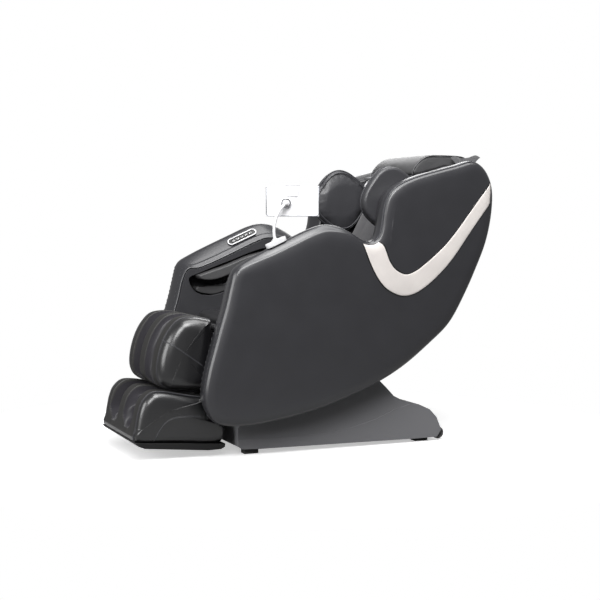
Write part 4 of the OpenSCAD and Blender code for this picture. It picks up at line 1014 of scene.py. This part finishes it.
@dataclass
class WelledUnit:
    """A padded unit with two cloth-lined wells, such as the calf rest or the foot unit.

    Attributes:
        name: what the unit is.
        body: the CAD body that it rides on.
        stands_for: the CAD nodes that it replaces.
        wells: floor point and rim point in (y, z), from the top or back of the well on.
        rest: the rest of the outline, from the last rim point round to the first.
        half: half of the unit's width.
        ridge: half of the width of the ridge between the wells.
        cheek: width of the walls outside the wells.
        ends: over how many rows the wells round off at their start and end.
        fold: height of the folds in the cloth.
        edge: width of the rounding between the cheeks and the front.
        turn: how far the cheeks draw back over that width.
        seams: courses of the seams on the cheeks, in (y, z).
        steps: curve steps between neighbouring points of the wells.
    """

    name: str
    body: str
    stands_for: tuple[str, ...]
    wells: list[tuple[tuple[float, float], tuple[float, float]]]
    rest: list[tuple[float, float]]
    half: float
    ridge: float = 20.0
    cheek: float = 38.0
    steps: int = 5
    ends: tuple[float, float] = (6.0, 9.0)
    fold: float = 5.0
    edge: float = 24.0
    turn: float = 48.0
    seams: list[list[tuple[float, float]]] = field(default_factory=list)

    def depth(self, x: float, i: int, count: int) -> tuple[float, bool]:
        """How deep the unit is sunk at x in row i of count.

        Each well is an oval with two lobes of padding, a wide one by the ridge and a narrow one
        by the cheek, and the cloth between them gathers in small folds.

        Returns:
            The depth as a share of the well's, and whether cloth covers the unit there.
        """
        middle = (self.ridge + self.half - self.cheek) / 2
        reach = (self.half - self.cheek - self.ridge) / 2
        start, end = i / self.ends[0], (count - 1 - i) / self.ends[1]
        width = math.sqrt(max(1 - max(1 - start, 0) ** 2, 0)
                          * max(1 - max(1 - end, 0) ** 2, 0))
        if width < 0.02:
            return 0.0, False
        t = (abs(x) - middle) / (reach * width)
        if abs(t) >= 1:
            return 0.0, False
        wall = 1 - abs(t) ** 7
        swing = 0.2 * math.sin(i * 0.17 + 0.4)
        near = 0.8 * math.exp(-((t - 0.5 * swing + 0.5) / 0.56) ** 4)
        far = 0.42 * math.exp(-((t - swing - 0.72) / 0.26) ** 4)
        gather = 0.011 * self.fold * (abs(math.sin(0.36 * i + 2.4 * t)) - 0.6)
        gather *= math.exp(-(t / 0.8) ** 4)
        sunk = (1 - near - far) * (0.3 + 0.7 * width) + (gather + 0.12 * width) * width
        return wall * sunk, True

    def stations(self) -> list[float]:
        """The x of every ring, close together where a wall of a well is steep."""
        inner, outer = self.ridge, self.half - self.cheek
        span = outer - inner
        half = [0.0, inner * 0.5, inner - 4, inner - 1]
        half += [inner + span * t for t in (
            0.006, 0.02, 0.05, 0.1, 0.16, 0.23, 0.3, 0.37, 0.44, 0.5, 0.56, 0.63, 0.7, 0.77, 0.84,
            0.9, 0.95, 0.98, 0.994)]
        half += [outer + past for past in (1, 4, 12, 20, 34)]
        return [-x for x in reversed(half[1:])] + half

    def outline(self) -> tuple[list[Vector], list[Vector], int]:
        """The rim curve with the rest of the outline, the floor curve, and the rim's length."""
        rim = spline([w[1] for w in self.wells], self.steps, False)
        floor = spline([w[0] for w in self.wells], self.steps, False)
        tail = spline([rim[-1], *[Vector(q) for q in self.rest], rim[0]], 2, False)[1:-1]
        return rim + tail, floor, len(rim)

    def rounding(self, x: float) -> float:
        """How far the outline draws in at x, towards the cheeks."""
        inner = abs(x) - (self.half - self.cheek)
        return 0.0 if inner < 8 else 5.0 * ((inner - 8) / self.cheek) ** 2

    def build(self) -> None:
        """Makes the unit as one skin, leather outside and cloth in the wells."""
        line, floor, rows = self.outline()
        count = len(line)
        normals = [inward(line, i, 3) for i in range(count)]
        flip = -1 if sum(n.dot(low - q) for n, low, q in zip(normals, floor, line)) < 0 else 1

        def ring(x: float, inset: float,
                 place: float | None = None) -> tuple[list[Vector], list[bool]]:
            """The ring at x, sunk in its wells and drawn in by inset, laid at place instead."""
            out, cloth = [], []
            for i, q in enumerate(line):
                sunk, inside = self.depth(x, i, rows) if i < rows else (0.0, False)
                point = q + flip * inset * normals[i]
                if inside:
                    point = q.lerp(floor[i], sunk)
                out.append(point)
                cloth.append(inside)
            return at_x(out, x if place is None else place), cloth

        edge = self.edge
        strip = self.half - edge + 2
        drawn = self.rounding(self.half)
        quarter = [(1 - math.sin(a), 1 - math.cos(a)) for a in (math.pi / 12 * k for k in range(7))]
        right = [ring(self.half, drawn + self.turn * b, self.half - edge * a) for a, b in quarter]
        middle = sum(line, Vector((0, 0))) / count
        last, cloth = ring(self.half, drawn + self.turn)
        for scale in (0.9, 0.72, 0.45, 0.2):
            spots = (middle + (Vector(q[1:]) - middle) * scale for q in last)
            right.append((at_x(spots, self.half + 3.5 * (1 - scale)), cloth))
        left = [([Vector((-q[0], q[1], q[2])) for q in points], cloth)
                for points, cloth in reversed(right)]
        core = [ring(x, self.rounding(x)) for x in self.stations()]
        chain = left + core + right
        skin = Skin(chain[0][0])
        skin.close(list(skin.edges))
        for (_, before), (points, cloth) in zip(chain, chain[1:]):
            order = {v: i for i, v in enumerate(skin.last)}
            for new_face in skin.grow(points):
                spots = [order[v] for v in new_face.verts if v in order]
                lined = any(cloth[s] and before[s] for s in spots)
                faced = abs(points[0][0]) <= strip and min(spots) < rows
                new_face.material_index = 1 if lined else 2 if faced else 0
        skin.close()
        bm = skin.done()
        tree = tree_of(bm)
        # Two piped lines along the cheek's front edge, and the double seams on the cheek.
        pipes = [tube(ring(self.half, drawn + inset, x)[0][:rows + 6], 1.3, 6)
                 for x, inset in ((strip + 1.5, 0.1), (strip - 5.5, -0.7))]
        pipes += [drawn_on(tree, [(y, z + shift) for y, z in course], 1.1, -0.5)
                  for course in self.seams for shift in (-1.7, 1.7)]
        pipes += [mirrored(pipe) for pipe in pipes]
        cover = Piece(f"{self.name}_cover", self.body, "leather", self.stands_for, levels=1,
                      fill=0.8)
        cover.place(bm, CHEEK_LEATHER, WELL_CLOTH, RIDGE_LEATHER)
        Piece(f"{self.name}_piping", self.body, "leather").place(joined(pipes), STRAP_LEATHER)


CALF = WelledUnit(
    "calf_rest", "leg_rest", ("calf_shell", "calf_pads"),
    wells=[((-390, 494), (-398, 508)), ((-450, 490), (-462, 521)), ((-496, 466), (-524, 515)),
           ((-518, 432), (-564, 479)), ((-532, 394), (-592, 429)), ((-541, 350), (-610, 368)),
           ((-545, 308), (-614, 312)), ((-541, 274), (-599, 272)), ((-534, 249), (-571, 252))],
    rest=[(-540, 247), (-480, 243), (-420, 243), (-398, 262), (-396, 320), (-396, 400),
          (-396, 472)],
    half=230, ridge=30.0, cheek=98.0, edge=46.0, turn=46.0,
    seams=[[(-596, 438), (-574, 428), (-537, 404), (-492, 372), (-448, 340)]])
FOOT = WelledUnit(
    "foot_unit", "foot_unit", ("foot_shell", "foot_pads"),
    wells=[((-418, 182), (-428, 224)), ((-462, 172), (-480, 231)), ((-500, 164), (-534, 242)),
           ((-540, 156), (-592, 253)), ((-575, 148), (-640, 252)), ((-605, 138), (-674, 224)),
           ((-632, 128), (-690, 188)), ((-662, 118), (-699, 148)), ((-680, 104), (-705, 112))],
    rest=[(-707, 64), (-620, 58), (-500, 50), (-364, 42), (-364, 133), (-424, 136)],
    half=240, ridge=28.0, cheek=78.0, ends=(6.0, 8.0), fold=18.0, edge=30.0, turn=34.0,
    seams=[[(-637, 70), (-627, 95), (-603, 131), (-569, 152), (-518, 157), (-440, 152)]])


# --- Base, frame and small parts ------------------------------------------------------------


@dataclass
class CadDresser:
    """Gives the carried-over CAD nodes their finish, and rounds their edges.

    Attributes:
        finishes: nodes by finish and edge radius in millimetres.
    """

    finishes: list[tuple[Finish, float, tuple[str, ...]]] = field(default_factory=lambda: [
        (BASE_PLASTIC, 1.6, ("base_cover",)),
        (BASE_PLASTIC, 0.8, ("back_shell", "seat_valance")),
        (TRAY_PLASTIC, 2.0, ("foot_tray",)),
        (LINER_LEATHER, 2.5, ("side_liner_left", "side_liner_right")),
        (POWDER_COAT, 1.2, ("base_frame", "body_frame", "calf_frame")),
        (GROUND_STEEL, 0.5, ("tilt_shaft", "tilt_rod", "legrest_shaft", "leg_rod", "guide_bars",
                             "lead_screw", "foot_rods", "massage_arm_left",
                             "massage_arm_right")),
        (MOTOR_PLASTIC, 1.2, ("tilt_actuator", "leg_actuator", "screw_motor",
                              "massage_carriage", "control_box")),
        (RUBBER, 1.0, ("base_feet", "wheel_left", "wheel_right", "foot_roller",
                       "roller_left_upper", "roller_left_lower", "roller_right_upper",
                       "roller_right_lower")),
        (TRAY_PLASTIC, 0.4, ("power_inlet",)),
        (ROCKER_PLASTIC, 0.4, ("power_rocker",)),
        (KEY_PLASTIC, 0.5, ("key_panel",)),
        (WHITE_PLASTIC, 0.5, ("speakers", "holder_foot", "holder_plate", "holder_jaw",
                              "holder_arm")),
        (CHROME, 0.4, ("holder_collar",)),
        (KEY_PLASTIC, 0.3, ("key_1", "key_2", "key_3", "key_4", "key_5")),
    ])

    def build(self) -> None:
        """Dresses every node that still shows."""
        for finish, radius, names in self.finishes:
            for name in names:
                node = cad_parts[name]
                node.data.materials.clear()
                node.data.materials.append(finish.material())
                weld = node.modifiers.new("weld", "WELD")
                weld.merge_threshold = 0.02 * MM
                bevel = node.modifiers.new("bevel", "BEVEL")
                bevel.width = radius * MM
                bevel.segments = 2
                bevel.limit_method = "ANGLE"
                bevel.angle_limit = math.radians(35)
                bevel.use_clamp_overlap = True
                log.info("%s dressed in %s", name, finish.name)


@dataclass
class KeyDisplay:
    """The rim round the key panel, and a plain slanted mark or two on each key.

    Attributes:
        length: length of the panel in millimetres.
        width: width of the panel.
        height: height of the panel above the armrest.
        rim: radius of the rim.
        pitch: distance between neighbouring keys.
        marks: slope in degrees and offset along the panel of the marks on each key.
    """

    length: float = 132.0
    width: float = 34.0
    height: float = 5.0
    rim: float = 2.7
    pitch: float = 20.0
    marks: tuple[tuple[tuple[float, float], ...], ...] = (
        ((28, -3.4), (-28, 3.0)), ((-28, -3.0), (28, 3.4)), *3 * (((28, -4.0), (28, 3.6)),))

    def place(self) -> Matrix:
        """The local frame of the sloping top of the right armrest, in millimetres."""
        line = spline(SIDE_POINTS, 2, True)
        flat = [Vector(q[:2]) for q in line]
        at, reach = 67, 2
        drop = line[at][2]
        middle = flat[at] + 0.5 * drop * inward(flat, at, reach)
        course = flat[at - 1] - flat[at + 1]
        return (Matrix.Translation((-293, middle[0], middle[1]))
                @ Matrix.Rotation(math.atan2(course[1], course[0]), 4, "X")
                @ Matrix.Rotation(math.atan2(drop, 62), 4, "Y") @ Matrix.Translation((0, 0, 0.3))
                @ Matrix.Rotation(math.radians(90), 4, "Z"))

    def build(self) -> None:
        """Makes the rim and the marks."""
        place = self.place()
        half, turn = (self.length - self.width) / 2, self.width / 2 - 1.8
        path = []
        for i in range(48):
            a = 2 * math.pi * (i + 0.5) / 48
            path.append(Vector((math.copysign(half, math.cos(a)) + turn * math.cos(a),
                                turn * math.sin(a), self.height)))
        rim = tube(path, self.rim, 8, closed=True)
        rim.transform(place)
        Piece("key_display_rim", "chair", "white_gloss").place(rim, WHITE_PLASTIC)
        for k, marks in enumerate(self.marks):
            bars = []
            for slope, offset in marks:
                bar = bmesh.new()
                bmesh.ops.create_cube(bar, size=1)
                bmesh.ops.scale(bar, vec=(2.1, 8.4, 0.3), verts=bar.verts)
                at = Vector(((k - 2) * self.pitch + offset, 0, self.height + 0.42))
                bar.transform(place @ Matrix.Translation(at)
                              @ Matrix.Rotation(math.radians(-slope), 4, "Z"))
                bars.append(bar)
            Piece(f"key_mark_{k + 1}", f"key_{k + 1}", "key").place(joined(bars), MARK_PAINT)


@dataclass
class PlateEdgeShade:
    """A grey metal bead round the three closed sides of the phone plate, painted shade standing in
    for the shading along the plate's bent edges.

    Attributes:
        ball: middle of the holder's ball, in millimetres.
        turn: how far the plate is turned about the vertical, in degrees.
        face: distance of the plate's outer face behind the ball.
        span: from one end of the plate to the other, along it.
        rise: from the lower edge of the plate to the ends of the bead.
        corner: radius of the plate's lower corners.
        radius: radius of the bead.
    """

    ball: tuple[float, float, float] = (326.0, -154.8, 938.3)
    turn: float = -23.0
    face: float = -24.4
    span: tuple[float, float] = (-73.0, 121.0)
    rise: tuple[float, float] = (-47.0, 62.0)
    corner: float = 9.0
    radius: float = 1.7

    def build(self) -> None:
        """Lays the bead, painted shade for the plate's edges, round the plate's outer face, from
        one upper corner to the other.
        """
        (y0, y1), (z0, z1) = self.span, self.rise
        half_way = (z0 + z1) / 2
        path = [(y0, z1), (y0, half_way)]
        for middle, start in ((y0 + self.corner, math.pi), (y1 - self.corner, 1.5 * math.pi)):
            for a in (start + math.pi / 12 * k for k in range(7)):
                path.append((middle + self.corner * math.cos(a),
                             z0 + self.corner + self.corner * math.sin(a)))
        path += [(y1, half_way), (y1, z1)]
        bead = tube(at_x(path, self.face), self.radius, 8)
        bead.transform(Matrix.Translation(self.ball)
                       @ Matrix.Rotation(math.radians(self.turn), 4, "Z"))
        # The grey bead is painted shade along the phone plate's edges.
        Piece("plate_edge_shade_bead", "holder_head", "collar").place(bead, PLATE_EDGE_SHADE)


# --- Studio ---------------------------------------------------------------------------------


@dataclass
class Studio:
    """The camera, the floor and the lights.

    Attributes:
        eye: place of the camera.
        azimuth: where the camera stands round the chair, in degrees.
        pitch: how far it looks down, in degrees.
        lens: focal length on a 36 mm sensor.
        floor_lift: how much light the floor adds of its own, to the camera only.
        gloss_share: how much of the white backdrop shows in shiny surfaces.
        aim: where the lamps point.
    """

    eye: tuple[float, float, float] = (4.7599, -1.9736, 0.8974)
    azimuth: float = 67.08
    pitch: float = 3.77
    lens: float = 78.0
    floor_lift: float = 0.5
    gloss_share: float = 0.22
    aim: tuple[float, float, float] = (0.0, 0.0, 0.7)

    def build(self) -> None:
        """Sets the whole stage."""
        self.camera()
        self.floor()
        self.lamps()
        self.world()

    def camera(self) -> None:
        """The camera, at the height of the armrests."""
        az, pitch = math.radians(self.azimuth), math.radians(self.pitch)
        level = math.cos(pitch)
        back = Vector((math.sin(az) * level, -math.cos(az) * level, math.sin(pitch)))
        data = bpy.data.cameras.new("camera")
        data.lens = self.lens
        data.sensor_width = 36
        eye = bpy.data.objects.new("camera", data)
        eye.location = self.eye
        eye.rotation_euler = back.to_track_quat("Z", "Y").to_euler()
        bpy.context.scene.collection.objects.link(eye)
        bpy.context.scene.camera = eye

    def floor(self) -> None:
        """A pale floor that is white to the camera and still takes the chair's shadow."""
        bm = bmesh.new()
        bmesh.ops.create_grid(bm, x_segments=1, y_segments=1, size=20)
        mesh = bpy.data.meshes.new("floor")
        bm.to_mesh(mesh)
        bm.free()
        floor = bpy.data.objects.new("floor", mesh)
        bpy.context.scene.collection.objects.link(floor)
        mesh.materials.append(self.floor_paint())

    def floor_paint(self) -> Material:
        """Matt white paint for the camera, with a lift that leaves room for the chair's shadow.

        The lift takes over further out, and other rays meet plain grey paint.
        """
        paint = bpy.data.materials.new("floor_paint")
        paint.use_nodes = True
        tree = paint.node_tree
        tree.nodes.clear()
        dull = add(tree, "BsdfDiffuse", {"Color": linear("#f4f4f4")})
        lift = add(tree, "Emission", {"Color": (1, 1, 1, 1), "Strength": self.floor_lift})
        near = add(tree, "AddShader", links={0: dull.outputs[0], 1: lift.outputs[0]})
        far = add(tree, "Emission", {"Color": (1, 1, 1, 1), "Strength": 1.0})
        place = add(tree, "TexCoord").outputs["Object"]
        reach = add(tree, "VectorMath", {"operation": "LENGTH"}, {0: place})
        fade = add(tree, "MapRange", {"From Min": 0.9, "From Max": 1.5},
                   {"Value": reach.outputs["Value"]})
        shown = add(tree, "MixShader", links={0: fade.outputs[0], 1: near.outputs[0],
                                              2: far.outputs[0]})
        soft = add(tree, "BsdfDiffuse", {"Color": linear("#5c5c5c")})
        final = add(tree, "MixShader", links={0: self.seen(tree), 1: soft.outputs[0],
                                              2: shown.outputs[0]})
        add(tree, "OutputMaterial", links={"Surface": final.outputs[0]})
        return paint

    def seen(self, tree: Tree) -> Socket:
        """1 for rays of the camera and through glass, gloss_share for reflections, 0 for others."""
        ray = add(tree, "LightPath")
        gloss = add(tree, "Math", {"operation": "MULTIPLY", 1: self.gloss_share},
                    {0: ray.outputs["Is Glossy Ray"]})
        direct = add(tree, "Math", {"operation": "MAXIMUM"},
                     {0: ray.outputs["Is Camera Ray"], 1: ray.outputs["Is Transmission Ray"]})
        return add(tree, "Math", {"operation": "MAXIMUM"},
                   {0: direct.outputs[0], 1: gloss.outputs[0]}).outputs[0]

    def lamps(self) -> None:
        """Soft boxes in front, beside the camera, above the near side, overhead and behind."""
        for name, place, size, watts in (
                ("front_box", (0.9, -3.8, 1.5), 1.9, 62),
                ("camera_box", (3.7, -2.4, 3.0), 1.9, 105),
                ("near_box", (1.9, -0.5, 2.9), 1.4, 66),
                ("top_box", (0.6, 0.4, 3.3), 2.2, 66),
                ("far_box", (-3.0, 1.6, 2.4), 1.6, 28)):
            data = bpy.data.lights.new(name, "AREA")
            data.shape = "SQUARE"
            data.size = size
            data.energy = watts
            lamp = bpy.data.objects.new(name, data)
            lamp.location = place
            aim = Vector(place) - Vector(self.aim)
            lamp.rotation_euler = aim.to_track_quat("Z", "Y").to_euler()
            bpy.context.scene.collection.objects.link(lamp)

    def world(self) -> None:
        """A white backdrop to camera, gloss and glass, and a plain grey light on the chair."""
        world = bpy.data.worlds.new("studio")
        bpy.context.scene.world = world
        world.use_nodes = True
        tree = world.node_tree
        tree.nodes.clear()
        plain, white = (add(tree, "Background", {"Color": (1, 1, 1, 1), "Strength": strength})
                        for strength in (0.09, 1.0))
        mix = add(tree, "MixShader", links={0: self.seen(tree), 1: plain.outputs[0],
                                            2: white.outputs[0]})
        add(tree, "OutputWorld", links={"Surface": mix.outputs[0]})
        bpy.context.scene.view_settings.view_transform = "Standard"


def main() -> None:
    """Builds the stage and every piece of the chair."""
    logging.basicConfig(level=logging.INFO, format="%(name)s: %(message)s")
    Studio().build()
    CadDresser().build()
    KeyDisplay().build()
    PlateEdgeShade().build()
    for side in Side:
        SideShell(side).build()
    Upholstery().build()
    CALF.build()
    FOOT.build()


if __name__ == "__main__":
    main()
